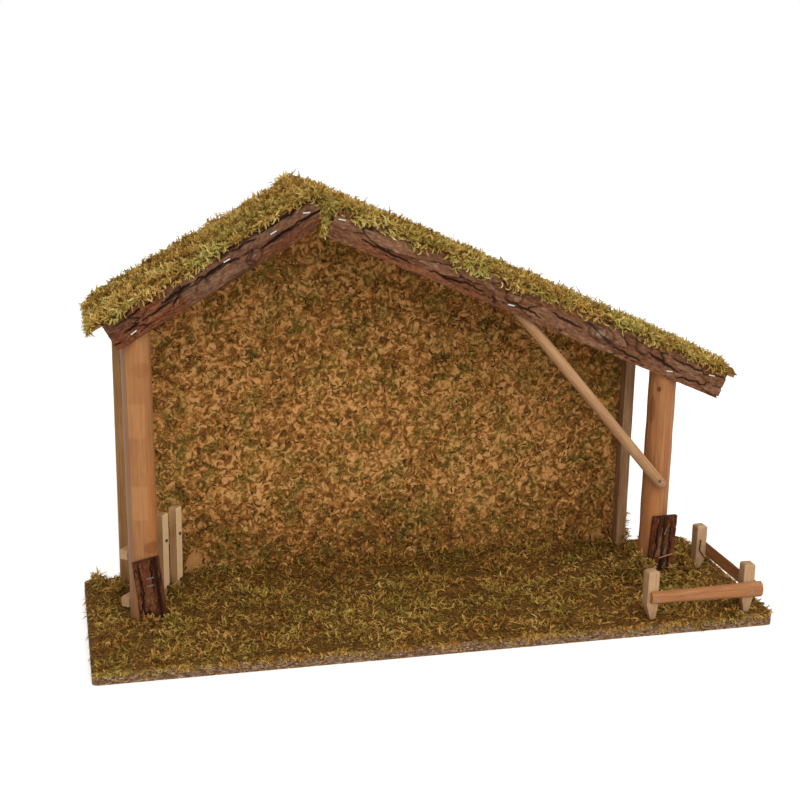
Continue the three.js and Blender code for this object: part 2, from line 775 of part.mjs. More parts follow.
function pose(geometry, point, outward) {
  geometry.applyQuaternion(new THREE.Quaternion().setFromUnitVectors(new THREE.Vector3(0, 1, 0), outward));
  geometry.translate(point.x, point.y, point.z);
  return geometry;
}

// Drives one nail or screw, and bores the pieces that it passes through
function drive(name, size, point, outward, length, through) {
  const clearance = size.head + size.headThickness;
  addPiece(name, pose(roundFastener(size, length, 0, size.headThickness), point, outward), finish.steel);
  const bore = toSolid(pose(roundFastener(size, length, seatGap, clearance), point, outward));
  for (const passed of through) cutPiece(passed, bore);
}

// A staple seen from the front: the crown on top and a leg at each end
function stapleOutline(growth, outside) {
  const half = staple.crown / 2 + growth;
  const inner = staple.crown / 2 - staple.wire - growth;
  const tip = -staple.leg - growth;
  return [
    [-half, tip], [-inner, tip], [-inner, -growth], [inner, -growth], [inner, tip], [half, tip],
    [half, outside], [-half, outside],
  ];
}

function stapleBody(growth, outside) {
  const shape = new THREE.Shape(stapleOutline(growth, outside).map(([x, y]) => new THREE.Vector2(x, y)));
  const breadth = staple.breadth + 2 * growth;
  const body = new THREE.ExtrudeGeometry(shape, { depth: breadth, bevelEnabled: false });
  body.translate(0, 0, -breadth / 2);
  body.rotateZ(Math.PI);
  return body;
}

// Sets one staple with its crown sunk a little in the bark, turned by an angle in the XZ plane
function setStaple(name, x, z, tilt, thickness, through) {
  const crownBackY = stripBackY - thickness + stapleSink;
  const place = (body) => {
    body.rotateY(-THREE.MathUtils.degToRad(tilt));
    body.translate(x, crownBackY, z);
    return body;
  };
  addPiece(name, place(stapleBody(0, staple.wire)), finish.steel);
  const slot = toSolid(place(stapleBody(seatGap, thickness)));
  for (const passed of through) cutPiece(passed, slot);
}

// Staples of the strips, from left to right: place along X, drop below the roof line and turn
const rafterBite = rafterDrop + rafterHeight / 2;
const postBite = postDrop + 6;
const alongLeftStrip = (share) => THREE.MathUtils.lerp(leftStripEndX, ridgeX, share);
const stripStaples = [
  { x: leftPostX - 3, drop: postBite, tilt: 38, into: 'front_left_post' },
  { x: alongLeftStrip(0.59), drop: rafterBite, tilt: 30, into: 'front_rafter_left' },
  { x: alongLeftStrip(0.81), drop: rafterBite, tilt: 30, into: 'front_rafter_left' },
  { x: ridgeX - 6, drop: rafterBite, tilt: 4, into: 'front_rafter_left' },
  { x: tongueTip + 10, drop: rafterBite, tilt: -12, into: 'front_rafter_right' },
  { x: braceTop.x + 3, drop: postBite, tilt: -15, into: 'corner_brace' },
  { x: rightPostX - 2, drop: postBite, tilt: -8, into: 'front_right_post' },
  { x: rightStripEndX - 18, drop: rafterBite, tilt: -14, into: 'front_rafter_right' },
];
stripStaples.forEach(({ x, drop, tilt, into }, k) => {
  const strip = x < ridgeX ? 'bark_strip_left' : 'bark_strip_right';
  setStaple(`strip_staple_${k + 1}`, x, roofAt(x, drop), tilt, stripThickness, [strip, into]);
});
const slabStaples = [
  { side: 'left', post: leftPost, x: 4, heights: [36, 43], tilt: 10 },
  { side: 'right', post: rightPost, x: 5, heights: [17.5, 31.5, 51], tilt: 70 },
];
for (const { side, post, x, heights, tilt } of slabStaples) {
  const slab = `${side}_post_bark`;
  heights.forEach((height, k) => {
    const z = standHeight + height;
    setStaple(`${slab}_staple_${k + 1}`, post.x + x, z, tilt, slabThickness, [slab, `front_${side}_post`]);
  });
}

// Nail through the foot of the brace into the post
const braceNailPoint = braceFoot.clone().addScaledVector(braceAxis, braceNailFromEnd);
braceNailPoint.y -= braceRadius - nail.headThickness;
drive('brace_nail', nail, braceNailPoint, outFront, braceDiameter + 12, ['corner_brace', 'front_right_post']);

// Nails of the yard fence
const railNailDepth = frontRailThickness + pegSide * 0.8;
const frontRailNails = [
  { name: 'front_rail_nail_inner', x: innerPegX + 2, peg: 'yard_peg_inner' },
  { name: 'front_rail_nail_corner', x: outerPegX, peg: 'yard_peg_corner' },
];
for (const { name, x, peg } of frontRailNails) {
  const point = new THREE.Vector3(x, frontRailBackY - frontRailThickness + nail.headThickness, railHeight);
  drive(name, nail, point, outFront, railNailDepth, ['yard_rail_front', peg]);
}
const sideNailDepth = sideRailThickness + 6;
const sideRailNails = [
  { name: 'side_rail_nail_corner', y: yardPegY + 1.5, rise: 4, peg: 'yard_peg_corner' },
  { name: 'side_rail_nail_rear', y: rearPegY, rise: 0, peg: 'yard_peg_rear' },
];
for (const { name, y, rise, peg } of sideRailNails) {
  const x = sideRailBackX + sideRailThickness - nail.headThickness;
  const point = new THREE.Vector3(x, y, railHeight + rise);
  drive(name, nail, point, outRight, sideNailDepth, ['yard_rail_side', peg]);
}

// Nails of the left fence: through the pickets into the rails, and through the rails into the post
const panelRails = [
  { level: 'lower', height: lowerPanelRailCentre },
  { level: 'upper', height: upperPanelRailCentre },
];
const picketNailDepth = picketSide + panelRailDepth * 0.7;
const postNailDepth = panelRailDepth + 10;
const intoPost = panelFace.clone().negate();
for (const { level, height } of panelRails) {
  const rail = `left_rail_${level}`;
  for (const picket of pickets) {
    const point = onPanel(picket.place, seatGap + picketSide, boardThickness + height);
    drive(`${picket.name}_nail_${level}`, nail, point, panelFace, picketNailDepth, [picket.name, rail]);
  }
  const back = onPanel(0, -panelRailDepth, boardThickness + height);
  drive(`${rail}_nail`, nail, back, intoPost, postNailDepth, [rail, 'front_left_post']);
}

// Countersunk screws up through the board into the posts and battens
const outDown = new THREE.Vector3(0, 0, -1);
const screwDepth = boardThickness + 16;
const uprights = [
  ['front_left_post', leftPost.x, leftPost.y], ['front_right_post', rightPost.x, rightPost.y],
  ['back_left_batten', leftBattenX, battenY], ['back_right_batten', rightBattenX, battenY],
];
for (const [upright, x, y] of uprights) {
  const point = new THREE.Vector3(x, y, screwRecess + screw.headThickness);
  drive(`${upright}_screw`, screw, point, outDown, screwDepth, ['base_board', upright]);
}

// The finished stable
const stable = new THREE.Group();
for (const [name, piece] of pieces) {
  const material = new THREE.MeshStandardMaterial({ metalness: 0, flatShading: true, ...piece.finish });
  const mesh = new THREE.Mesh(toGeometry(piece.solid), material);
  mesh.geometry.computeVertexNormals();
  mesh.name = name;
  stable.add(mesh);
}

export default stable;
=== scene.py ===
# %% [markdown]
# # A rustic nativity stable
# The real object is a small open-fronted shelter for nativity figures, about 60 cm wide. It stands on a
# chipboard base covered with dried moss. Two peeled sticks and two sawn battens carry a low roof of thin
# board, the back wall is coated with moss crumbs, and strips of conifer bark hide the roof's front edges.
# This script dresses the CAD model with finishes. It never moves a CAD piece: it paints some of them, and
# builds finer pieces in the place of others. We start by loading the CAD and keeping its outer box.

# %% Load the CAD
import math

import bpy
import numpy as np

from mathutils import Matrix, Vector


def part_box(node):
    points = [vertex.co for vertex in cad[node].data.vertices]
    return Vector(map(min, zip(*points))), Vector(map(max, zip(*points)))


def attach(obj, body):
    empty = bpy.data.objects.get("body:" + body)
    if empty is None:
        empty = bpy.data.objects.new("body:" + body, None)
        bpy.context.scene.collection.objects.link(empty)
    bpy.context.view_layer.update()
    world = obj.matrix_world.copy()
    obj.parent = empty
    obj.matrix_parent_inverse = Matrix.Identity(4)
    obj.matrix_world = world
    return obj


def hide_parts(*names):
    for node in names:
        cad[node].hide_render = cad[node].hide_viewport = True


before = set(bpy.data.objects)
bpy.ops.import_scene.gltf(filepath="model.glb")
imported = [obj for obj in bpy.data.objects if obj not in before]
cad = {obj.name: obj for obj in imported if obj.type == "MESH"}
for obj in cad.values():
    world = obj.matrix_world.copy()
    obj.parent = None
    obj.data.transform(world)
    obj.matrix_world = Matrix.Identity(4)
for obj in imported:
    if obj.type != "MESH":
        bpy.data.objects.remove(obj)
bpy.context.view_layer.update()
print(len(cad), "CAD nodes loaded")

# %% [markdown]
# Blender works in metres, but a maker thinks of a 10 mm batten and a 27 mm strip of bark. So every size
# below is written in millimetres, and this one factor turns it to metres where a mesh is made. The second
# function reads where a CAD node lies, so that a finer piece can take its place.

# %% Millimetres
MM = 0.001


def corners(node):
    """Lowest and highest corner of a CAD node in millimetres."""
    low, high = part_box(node)
    return np.array(low) / MM, np.array(high) / MM


board_low, board_high = corners("base_board")
print("base board", np.round(board_high - board_low, 1), "mm")

# %% [markdown]
# ## The camera
# A picture only lines up with another if the camera stands where the first one stood. The place and the
# three turns below were solved from straight edges of the stable. A lens of about 65 mm is usual for
# product pictures: it stands far enough back that the near post doesn't look too large.

# %% Camera
CAMERA_PLACE = (-316.32, -1180.16, 531.41)
YAW, PITCH, ROLL = 0.242516, 0.267284, 0.017388
LENS = 64.66

forward = Vector((math.sin(YAW) * math.cos(PITCH), math.cos(YAW) * math.cos(PITCH), -math.sin(PITCH)))
level = Vector((math.cos(YAW), -math.sin(YAW), 0))
above = level.cross(forward)
right = math.cos(ROLL) * level + math.sin(ROLL) * above
up = -math.sin(ROLL) * level + math.cos(ROLL) * above

camera_data = bpy.data.cameras.new("camera")
camera_data.lens = LENS
camera_data.sensor_width = 36
camera = bpy.data.objects.new("camera", camera_data)
bpy.context.scene.collection.objects.link(camera)
turn = Matrix((right, up, -forward)).transposed().to_4x4()
camera.matrix_world = Matrix.Translation(Vector(CAMERA_PLACE) * MM) @ turn
bpy.context.scene.camera = camera
print("camera at", CAMERA_PLACE, "mm")

# %% [markdown]
# ## Colour and nodes
# Colours are easy to write as the hex values that a paint program shows, which are sRGB. Shaders count in
# linear light, so one function turns the one into the other. A second small function adds any node with
# its settings and its links in one go, which keeps each material short enough to read as a recipe. A third
# starts a material. Raw wood, bark and moss are full of pores that swallow most of the surface shine, so
# its specular level starts at 0.2, well under the 0.5 of a sealed surface.

# %% Helpers for materials
def linear(code, alpha=1.0):
    """An sRGB hex colour as linear RGBA."""
    parts = [int(code[k:k + 2], 16) / 255 for k in (1, 3, 5)]
    return tuple(p / 12.92 if p <= 0.04045 else ((p + 0.055) / 1.055) ** 2.4 for p in parts) + (alpha,)


def add_node(tree, kind, inputs=None, stops=None, **settings):
    """Adds one node. A socket given as an input is linked, and any other value is set on the input."""
    made = tree.nodes.new("ShaderNode" + kind)
    for key, value in settings.items():
        setattr(made, key, value)
    for key, value in (inputs or {}).items():
        if isinstance(value, bpy.types.NodeSocket):
            tree.links.new(value, made.inputs[key])
        else:
            made.inputs[key].default_value = value
    if stops:
        elements = made.color_ramp.elements
        while len(elements) < len(stops):
            elements.new(0.5)
        for element, (place, code) in zip(elements, stops):
            element.position = place
            element.color = linear(code)
    return made


def new_material(name, roughness, ior=1.5, shine=0.2):
    """An empty material, the tree that its recipe is built in, and its shader."""
    material = bpy.data.materials.new(name)
    material.use_nodes = True
    tree = material.node_tree
    shader = tree.nodes["Principled BSDF"]
    shader.inputs["Roughness"].default_value = roughness
    shader.inputs["IOR"].default_value = ior
    shader.inputs["Specular IOR Level"].default_value = shine
    return material, tree, shader


# %% [markdown]
# Blender's mix node has one set of sockets for numbers and another for colours, both with the same names.
# Numbers pick the right ones: 0 is the factor, 6 and 7 are the two colours, and output 2 is the result.
# The map range node, which stretches one range of numbers into another, has numbered sockets as well: 1 and 2
# are the range that goes in, and 3 and 4 the range that comes out. The last steps of most recipes are the
# same: a colour and a bump go into the shader.

# %% Colour and bump into the shader
def finish_shader(tree, shader, colour, height=None, depth=0.5, strength=0.5):
    """Links the colour, and a bump whose depth is in millimetres."""
    tree.links.new(colour, shader.inputs["Base Color"])
    if height is not None:
        bump = add_node(tree, "Bump", {"Height": height, "Strength": strength, "Distance": depth * MM})
        tree.links.new(bump.outputs[0], shader.inputs["Normal"])


# %% [markdown]
# ## Solid wood
# All the sticks are softwood or poplar, so they share one recipe. Growth rings are cut lengthwise and
# show as streaks about 2 mm apart that run along the piece. Bundles of fibres are about 0.4 mm wide, and
# are drawn twice as wide here so that they show in the picture.
# The streaks are noise that is stretched along the grain. Raw wood is matt, with an IOR near 1.5.
#
# A few spots are painted by their distance from a point on the stick. For a knot, a stain or a patch of painted
# light that distance is measured as in a ball. For a place that was planed, and for a whole side with painted shade
# or painted light, it is measured as in a box, which gives it straight borders. The growth rings push the border
# out of line: a lot at a knot, and hardly at all where a plane has been.

# %% Spots on wood
def distance_in(tree, shape, grain, place, reach):
    """How far the surface lies from a place, where 1 is the border of the ball or the box."""
    offset = add_node(tree, "VectorMath", {0: grain, 1: place}, operation="SUBTRACT").outputs[0]
    scaled = add_node(tree, "VectorMath", {0: offset, 1: reach}, operation="DIVIDE").outputs[0]
    if shape == "ball":
        return add_node(tree, "VectorMath", {0: scaled}, operation="LENGTH").outputs["Value"]
    size = add_node(tree, "VectorMath", {0: scaled}, operation="ABSOLUTE").outputs[0]
    parts = add_node(tree, "SeparateXYZ", {0: size}).outputs
    wider = add_node(tree, "Math", {0: parts[0], 1: parts[1]}, operation="MAXIMUM").outputs[0]
    return add_node(tree, "Math", {0: wider, 1: parts[2]}, operation="MAXIMUM").outputs[0]


# How far the rings push each shape's border out of line, and the distance at which it has faded.
BORDERS = {"ball": (0.5, 1.35), "box": (0.08, 1.12)}

# %% [markdown]
# Each stick carries its own grain coordinates in millimetres, so the streaks follow it wherever it points.
# Every stick starts at another place of the grain, or two sticks side by side would look alike. The recipe
# takes three tones, from the dark late wood of a ring to its pale early wood, and a fourth for patches
# that hands or the saw have changed.

# %% Wood recipe
def grain_start(seed):
    return np.array([seed * 37.0, seed * 11.0, seed * 53.0])


def softwood(name, late, middle, early, patch, roughness=0.62, spots=()):
    material, tree, shader = new_material(name, roughness)
    grain = add_node(tree, "Attribute", attribute_name="grain").outputs["Vector"]

    def streaks(across, along, detail, distortion=0.0):
        place = add_node(tree, "Mapping", {"Vector": grain, "Scale": (1 / across, 1 / across, 1 / along)})
        return add_node(tree, "TexNoise", {
            "Vector": place.outputs[0], "Scale": 1.0, "Detail": detail, "Roughness": 0.6, "Distortion": distortion,
        }).outputs[0]

    rings = streaks(across=2.2, along=70, detail=4.0, distortion=0.35)
    fibres = streaks(across=0.8, along=24, detail=3.0)
    patches = streaks(across=11, along=38, detail=5.0)
    both = add_node(tree, "Math", {0: rings, 1: fibres}, operation="ADD").outputs[0]
    tone = add_node(tree, "Math", {0: both, 1: 0.5}, operation="MULTIPLY").outputs[0]
    colour = add_node(tree, "ValToRGB", {0: tone}, stops=[(0.34, late), (0.5, middle), (0.66, early)]).outputs[0]
    worn = add_node(tree, "MapRange", {0: patches, 1: 0.5, 2: 0.72, 3: 0.0, 4: 0.45}).outputs[0]
    colour = add_node(tree, "Mix", {0: worn, 6: colour, 7: linear(patch)}, data_type="RGBA").outputs[2]
    for shape, place, reach, code, amount in spots:
        away = distance_in(tree, shape, grain, place, reach)
        raggedness, fade = BORDERS[shape]
        ragged = add_node(tree, "Math", {0: rings, 1: raggedness, 2: away}, operation="MULTIPLY_ADD").outputs[0]
        near = add_node(tree, "MapRange", {0: ragged, 1: 1.0, 2: fade, 3: amount, 4: 0.0}).outputs[0]
        colour = add_node(tree, "Mix", {0: near, 6: colour, 7: linear(code)}, data_type="RGBA").outputs[2]
    finish_shader(tree, shader, colour, tone, depth=0.5, strength=0.35)
    return material


# %% [markdown]
# The posts have seen some handling. A plane has slipped over the left one in two places and left paler
# rectangles. The left post's whole left side is painted darker as painted shade, and its right side warmer and
# lighter as painted light. The right one has a small knot near the top and a darker stain beside its foot. One
# face of each picket of the left fence is painted pale, as painted light. A spot is its shape, its place, how far
# it reaches across, in depth and along, its colour and how much of that colour it takes.

# %% Spots of the posts and pickets
LEFT_POST_GRAIN, RIGHT_POST_GRAIN, PICKET_GRAIN = 3, 8, (26, 27)


def on_stick(seed, across, depth, along):
    """A place on one stick, in its grain coordinates."""
    return tuple(grain_start(seed) + (across, depth, along))


left_marks_and_painted_light = [
    ("box", on_stick(LEFT_POST_GRAIN, -3, -14, 109), (8, 10, 15), "#bd8a58", 0.3),
    ("box", on_stick(LEFT_POST_GRAIN, -3, -14, 182), (8, 10, 14.5), "#b98454", 0.26),
    # Painted shade: the whole left side of the left post is painted darker.
    ("box", on_stick(LEFT_POST_GRAIN, -14, 0, 150), (5, 30, 400), "#7f5d3f", 0.75),
    # Painted light: the right side of the left post is painted warmer and lighter.
    ("ball", on_stick(LEFT_POST_GRAIN, 9, -9, 96), (5, 9, 60), "#b06c38", 0.5),
    ("ball", on_stick(LEFT_POST_GRAIN, 7, -11, 68), (8, 8, 6), "#7a421f", 0.6),
    ("ball", on_stick(LEFT_POST_GRAIN, 3, -12, 226), (9, 9, 7), "#8a5029", 0.4),
]
right_spots = [
    ("ball", on_stick(RIGHT_POST_GRAIN, -7.2, -10, 187.6), (1.7, 3, 2.6), "#55300f", 0.9),
    ("ball", on_stick(RIGHT_POST_GRAIN, -3, -12, 204), (9, 8, 12), "#bd7f4c", 0.5),
    ("ball", on_stick(RIGHT_POST_GRAIN, 12, -4, 178), (2.2, 5, 5), "#3d2413", 0.8),
    ("ball", on_stick(RIGHT_POST_GRAIN, 12, -4, 104), (2.0, 5, 7), "#3d2413", 0.8),
    ("ball", on_stick(RIGHT_POST_GRAIN, -11, -6, 168), (2.4, 5, 14), "#6d4325", 0.6),
    ("ball", on_stick(RIGHT_POST_GRAIN, -5, -11, 66), (5, 8, 30), "#b5713f", 0.6),
    ("ball", on_stick(RIGHT_POST_GRAIN, 4, -12, 120), (3, 6, 34), "#8a4f2b", 0.45),
    ("ball", on_stick(RIGHT_POST_GRAIN, 8, -10, 40), (8, 8, 36), "#7c4728", 0.55),
]
# Painted light: one face of each picket is painted pale.
picket_lit_faces = [("box", on_stick(seed, 0, -4.6, 40), (30, 0.95, 400), "#e3c191", 0.8) for seed in PICKET_GRAIN]
print(len(left_marks_and_painted_light), "and", len(right_spots), "spots on the two posts")

# %% [markdown]
# Peeling a stem bares smooth outer wood, which handling has made orange-tan and a little less matt: hence
# the lower roughness of the posts. Hazel is paler and cooler. Whittled and sawn poplar is the palest, with
# hardly any contrast in its rings. Alder turns reddish in the air soon after it is split. The two sawn
# battens are spruce, one tan and one greyed by age.

# %% The woods of the stable
left_post_spruce = softwood("peeled spruce, left post", "#8b582f", "#9b673b", "#ab7647", "#b28153",
                            roughness=0.55, spots=left_marks_and_painted_light)
right_post_spruce = softwood("peeled spruce, right post", "#85522b", "#9f693e", "#b17a4d", "#8d5532",
                             roughness=0.6, spots=right_spots)
peeled_hazel = softwood("peeled hazel stick", "#876040", "#a57a52", "#bb9269", "#cba57b")
whittled_poplar = softwood("whittled poplar, raw", "#9a764f", "#ac8761", "#ba9971", "#c7a781")
sawn_poplar = softwood("sawn poplar of the pickets", "#926b43", "#a77e51", "#b88f63", "#c39d72",
                       spots=picket_lit_faces)
split_alder = softwood("split alder, reddish and raw", "#825130", "#9c653c", "#ae784a", "#ba875a")
tan_batten = softwood("sawn spruce batten, tan", "#7a542e", "#8d663b", "#9f7648", "#aa8353")
grey_batten = softwood("sawn spruce batten, greyed", "#6e4e34", "#8b6542", "#a3805c", "#b1906a")
print(len(bpy.data.materials), "materials so far, with the woods")

# %% [markdown]
# ## Thin board
# The roof and the wall are thin fibreboard: pressed fibres with no grain, an even tan with faint mottling.
# Three noises are enough: cloudy patches of some 30 mm, flecks of 2 to 4 mm, and fibres of under a
# millimetre. The hidden rafters get the same recipe in the grey of sawn wood.

# %% Fibreboard
def pressed_board(name, stops):
    material, tree, shader = new_material(name, 0.8)
    place = add_node(tree, "TexCoord").outputs["Object"]
    clouds = add_node(tree, "TexNoise", {"Vector": place, "Scale": 35.0, "Detail": 5.0}).outputs[0]
    flecks = add_node(tree, "TexNoise", {"Vector": place, "Scale": 300.0, "Detail": 4.0, "Roughness": 0.7}).outputs[0]
    fuzz = add_node(tree, "TexNoise", {"Vector": place, "Scale": 1400.0, "Detail": 2.0}).outputs[0]
    patchy = add_node(tree, "Math", {0: clouds, 1: 0.5, 2: fuzz}, operation="MULTIPLY_ADD").outputs[0]
    both = add_node(tree, "Math", {0: patchy, 1: flecks}, operation="ADD").outputs[0]
    even = add_node(tree, "Math", {0: both, 1: 0.4}, operation="MULTIPLY").outputs[0]
    colour = add_node(tree, "ValToRGB", {0: even}, stops=stops).outputs[0]
    finish_shader(tree, shader, colour, fuzz, depth=0.4, strength=0.2)
    return material


fibreboard = pressed_board("fibreboard, raw", [(0.36, "#9a6835"), (0.5, "#b67f46"), (0.64, "#ca975f")])
raw_rafter = pressed_board("sawn rafter, greyed", [(0.35, "#5d4128"), (0.5, "#77573a"), (0.65, "#8f6d4a")])
print(fibreboard.name, "|", raw_rafter.name)

# %% [markdown]
# ## Chipboard
# The base is chipboard: flat chips of 1 to 4 mm pressed in layers, so the cut edge shows long speckles.
# A Voronoi texture gives each chip its own random colour. It is squeezed along Z, because the press lays
# the chips flat. Chips are pinkish brown to pale straw, with dark gaps between some of them.

# %% Chipboard
chipboard, tree, shader = new_material("chipboard, raw sawn edge", 0.9)
place = add_node(tree, "TexCoord").outputs["Object"]
CHIPS_PER_METRE = (430.0, 430.0, 1000.0)
flat_chips = add_node(tree, "Mapping", {"Vector": place, "Scale": CHIPS_PER_METRE}).outputs[0]
chips = add_node(tree, "TexVoronoi", {"Vector": flat_chips, "Scale": 1.0}).outputs["Color"]
chip_tone = add_node(tree, "SeparateColor", {0: chips}).outputs[0]
chip_colours = add_node(tree, "ValToRGB", {0: chip_tone}, stops=[
    (0.0, "#4a3420"), (0.3, "#624730"), (0.6, "#7a5b3f"), (0.85, "#8f7052"), (1.0, "#a88f70"),
]).outputs[0]
dust = add_node(tree, "TexNoise", {"Vector": place, "Scale": 900.0, "Detail": 4.0}).outputs[0]
dusty = add_node(tree, "Mix", {0: 0.35, 6: chip_colours, 7: dust}, data_type="RGBA",
                 blend_type="OVERLAY").outputs[2]
finish_shader(tree, shader, dusty, chip_tone, depth=0.6, strength=0.4)
print("chips of about", [round(1000 / per_metre, 1) for per_metre in CHIPS_PER_METRE], "mm")

# %% [markdown]
# ## Bark
# Conifer bark grows in long overlapping plates. The mesh has their steps, and each point keeps two numbers
# for the material: how high its plate stands, and whether it lies in a crack. So colour and shape always
# agree. High plates have weathered to a greyish brown, low ones are darker, and cracks are nearly black:
# partly the bark's own dark colour, and partly painted shade in the cracks, the grooves and the gaps above
# the largest plates. A third number says where a layer has broken off and fresh reddish bark shows. Flakes of
# about 2 mm are stretched along the bark, with finer ones on top. Thin dark seams part the surface into
# scales of about 3 by 9 mm. They come from the borders of a Voronoi texture, which the flakes push out of
# line. Bark has no gloss at all.

# %% Bark recipe
def bark_material(name, stops, fresh, deep):
    """Stops colour the plates from low to high, fresh the bared layers, and deep the seams and the cracks, where it
    is partly painted shade.
    """
    material, tree, shader = new_material(name, 0.95, 1.45)
    plate = add_node(tree, "Attribute", attribute_name="plate").outputs["Fac"]
    crack = add_node(tree, "Attribute", attribute_name="crack").outputs["Fac"]
    raw = add_node(tree, "Attribute", attribute_name="raw").outputs["Fac"]
    grain = add_node(tree, "Attribute", attribute_name="grain").outputs["Vector"]
    flakes_at = add_node(tree, "Mapping", {"Vector": grain, "Scale": (0.55, 0.55, 0.2)}).outputs[0]
    flakes = add_node(tree, "TexNoise", {"Vector": flakes_at, "Scale": 1.0, "Detail": 6.0, "Roughness": 0.78})
    bands_at = add_node(tree, "Mapping", {"Vector": grain, "Scale": (0.12, 0.12, 0.02)}).outputs[0]
    bands = add_node(tree, "TexNoise", {"Vector": bands_at, "Scale": 1.0, "Detail": 3.0}).outputs[0]
    level = add_node(tree, "Math", {0: plate, 1: 0.55, 2: flakes.outputs[0]}, operation="MULTIPLY_ADD").outputs[0]
    spread = add_node(tree, "MapRange", {0: level, 1: 0.38, 2: 1.2, 3: 0.0, 4: 1.0}).outputs[0]
    colour = add_node(tree, "ValToRGB", {0: spread}, stops=stops).outputs[0]
    torn = add_node(tree, "MapRange", {0: bands, 1: 0.54, 2: 0.7, 3: 0.0, 4: 0.5}).outputs[0]
    bared = add_node(tree, "Math", {0: torn, 1: raw}, operation="MAXIMUM").outputs[0]
    layers = add_node(tree, "ValToRGB", {0: flakes.outputs[0]}, stops=fresh).outputs[0]
    colour = add_node(tree, "Mix", {0: bared, 6: colour, 7: layers}, data_type="RGBA").outputs[2]
    scales_at = add_node(tree, "Mapping", {"Vector": grain, "Scale": (0.32, 0.32, 0.11)}).outputs[0]
    ragged = add_node(tree, "VectorMath", {0: flakes.outputs[1], 1: (2.2, 2.2, 2.2), 2: scales_at},
                      operation="MULTIPLY_ADD").outputs[0]
    border = add_node(tree, "TexVoronoi", {"Vector": ragged, "Scale": 1.0}, feature="DISTANCE_TO_EDGE").outputs[0]
    seam = add_node(tree, "MapRange", {0: border, 1: 0.0, 2: 0.1, 3: 0.3, 4: 0.0}).outputs[0]
    # The cracks are darkened partly for the bark's own dark colour and partly as painted shade.
    for dark_line in (seam, crack):
        colour = add_node(tree, "Mix", {0: dark_line, 6: colour, 7: linear(deep)}, data_type="RGBA").outputs[2]
    height = add_node(tree, "Math", {0: flakes.outputs[0], 1: seam}, operation="SUBTRACT").outputs[0]
    finish_shader(tree, shader, colour, height, depth=1.2, strength=0.8)
    return material


# %% [markdown]
# The stable's bark comes from three stems. The left strip has broken and shows reddish layers, the right one
# has weathered to grey, and the two slabs at the posts are darker and fresher.

# %% Three kinds of bark
left_bark = bark_material("spruce bark, broken and reddish", [
    (0.0, "#432718"), (0.3, "#623d28"), (0.55, "#775038"), (0.8, "#8f6c52"), (1.0, "#ad8e76"),
], [(0.35, "#5f311b"), (0.5, "#7a4427"), (0.66, "#985e3b")], "#24130b")
right_bark = bark_material("spruce bark, weathered grey", [
    (0.0, "#50301f"), (0.3, "#6f472e"), (0.55, "#865b3f"), (0.8, "#9b755a"), (1.0, "#b6967c"),
], [(0.35, "#6b3a21"), (0.5, "#864d2d"), (0.66, "#9f6440")], "#332015")
slab_bark = bark_material("spruce bark, dark and fresh", [
    (0.0, "#34190e"), (0.3, "#582e19"), (0.55, "#714125"), (0.8, "#8c603f"), (1.0, "#b59068"),
], [(0.35, "#50260f"), (0.5, "#6a361b"), (0.66, "#844a2a")], "#1e0f07")
print(left_bark.name, "|", right_bark.name, "|", slab_bark.name)

# %% [markdown]
# ## Dried moss
# Dried moss is a felt of thin stems with tiny leaves. Some of it has turned ochre and brown, and some has
# stayed green. Each frond in the meshes below carries two numbers: its tone, from dark root to light tip,
# and its kind, from brown to green. Two colour ramps turn the tone into a colour, and the kind mixes them.

# %% Moss of the fronds
def frond_material(name, brown, green):
    material, tree, shader = new_material(name, 0.85, 1.4)
    tone = add_node(tree, "Attribute", attribute_name="tone").outputs["Fac"]
    kind = add_node(tree, "Attribute", attribute_name="kind").outputs["Fac"]
    places = (0.0, 0.3, 0.55, 0.8, 1.0)
    browns = add_node(tree, "ValToRGB", {0: tone}, stops=list(zip(places, brown))).outputs[0]
    greens = add_node(tree, "ValToRGB", {0: tone}, stops=list(zip(places, green))).outputs[0]
    colour = add_node(tree, "Mix", {0: kind, 6: browns, 7: greens}, data_type="RGBA").outputs[2]
    finish_shader(tree, shader, colour)
    return material


ground_moss = frond_material(
    "dried moss of the ground",
    ("#35200c", "#6b421a", "#9c6a2c", "#c09045", "#dbb26e"),
    ("#33290d", "#614c1a", "#8b732d", "#ac9543", "#c9b369"),
)
roof_moss = frond_material(
    "dried moss of the roof",
    ("#472a10", "#7f5522", "#b0843a", "#d0a656", "#e8cb86"),
    ("#3e3112", "#6f5e25", "#998a3e", "#b8ac58", "#d5cc84"),
)
wall_crumbs = frond_material(
    "crumbs of moss and bark",
    ("#3b220a", "#6c4415", "#8e5d22", "#ad7839", "#cb9755"),
    ("#30240b", "#594517", "#725c20", "#8c7432", "#a78e4c"),
)
print(ground_moss.name, "|", roof_moss.name, "|", wall_crumbs.name)

# %% [markdown]
# Under the fronds lies a mat of packed, darker moss. Noise of 2 to 4 mm mixes browns and olives, and the
# bump makes it look felted where it shows between the fronds.

# %% Packed moss
def packed_moss(name, dark, middle, light):
    material, tree, shader = new_material(name, 1.0, 1.4)
    place = add_node(tree, "TexCoord").outputs["Object"]
    felt = add_node(tree, "TexNoise", {"Vector": place, "Scale": 420.0, "Detail": 5.0, "Roughness": 0.7}).outputs[0]
    colour = add_node(tree, "ValToRGB", {0: felt}, stops=[(0.32, dark), (0.5, middle), (0.68, light)]).outputs[0]
    finish_shader(tree, shader, colour, felt, depth=2.0, strength=0.8)
    return material


ground_felt = packed_moss("packed moss, brown", "#3d260d", "#634218", "#875f28")
roof_felt = packed_moss("packed moss, olive", "#462c10", "#6f4d1e", "#91702e")
print(ground_felt.name, "|", roof_felt.name)
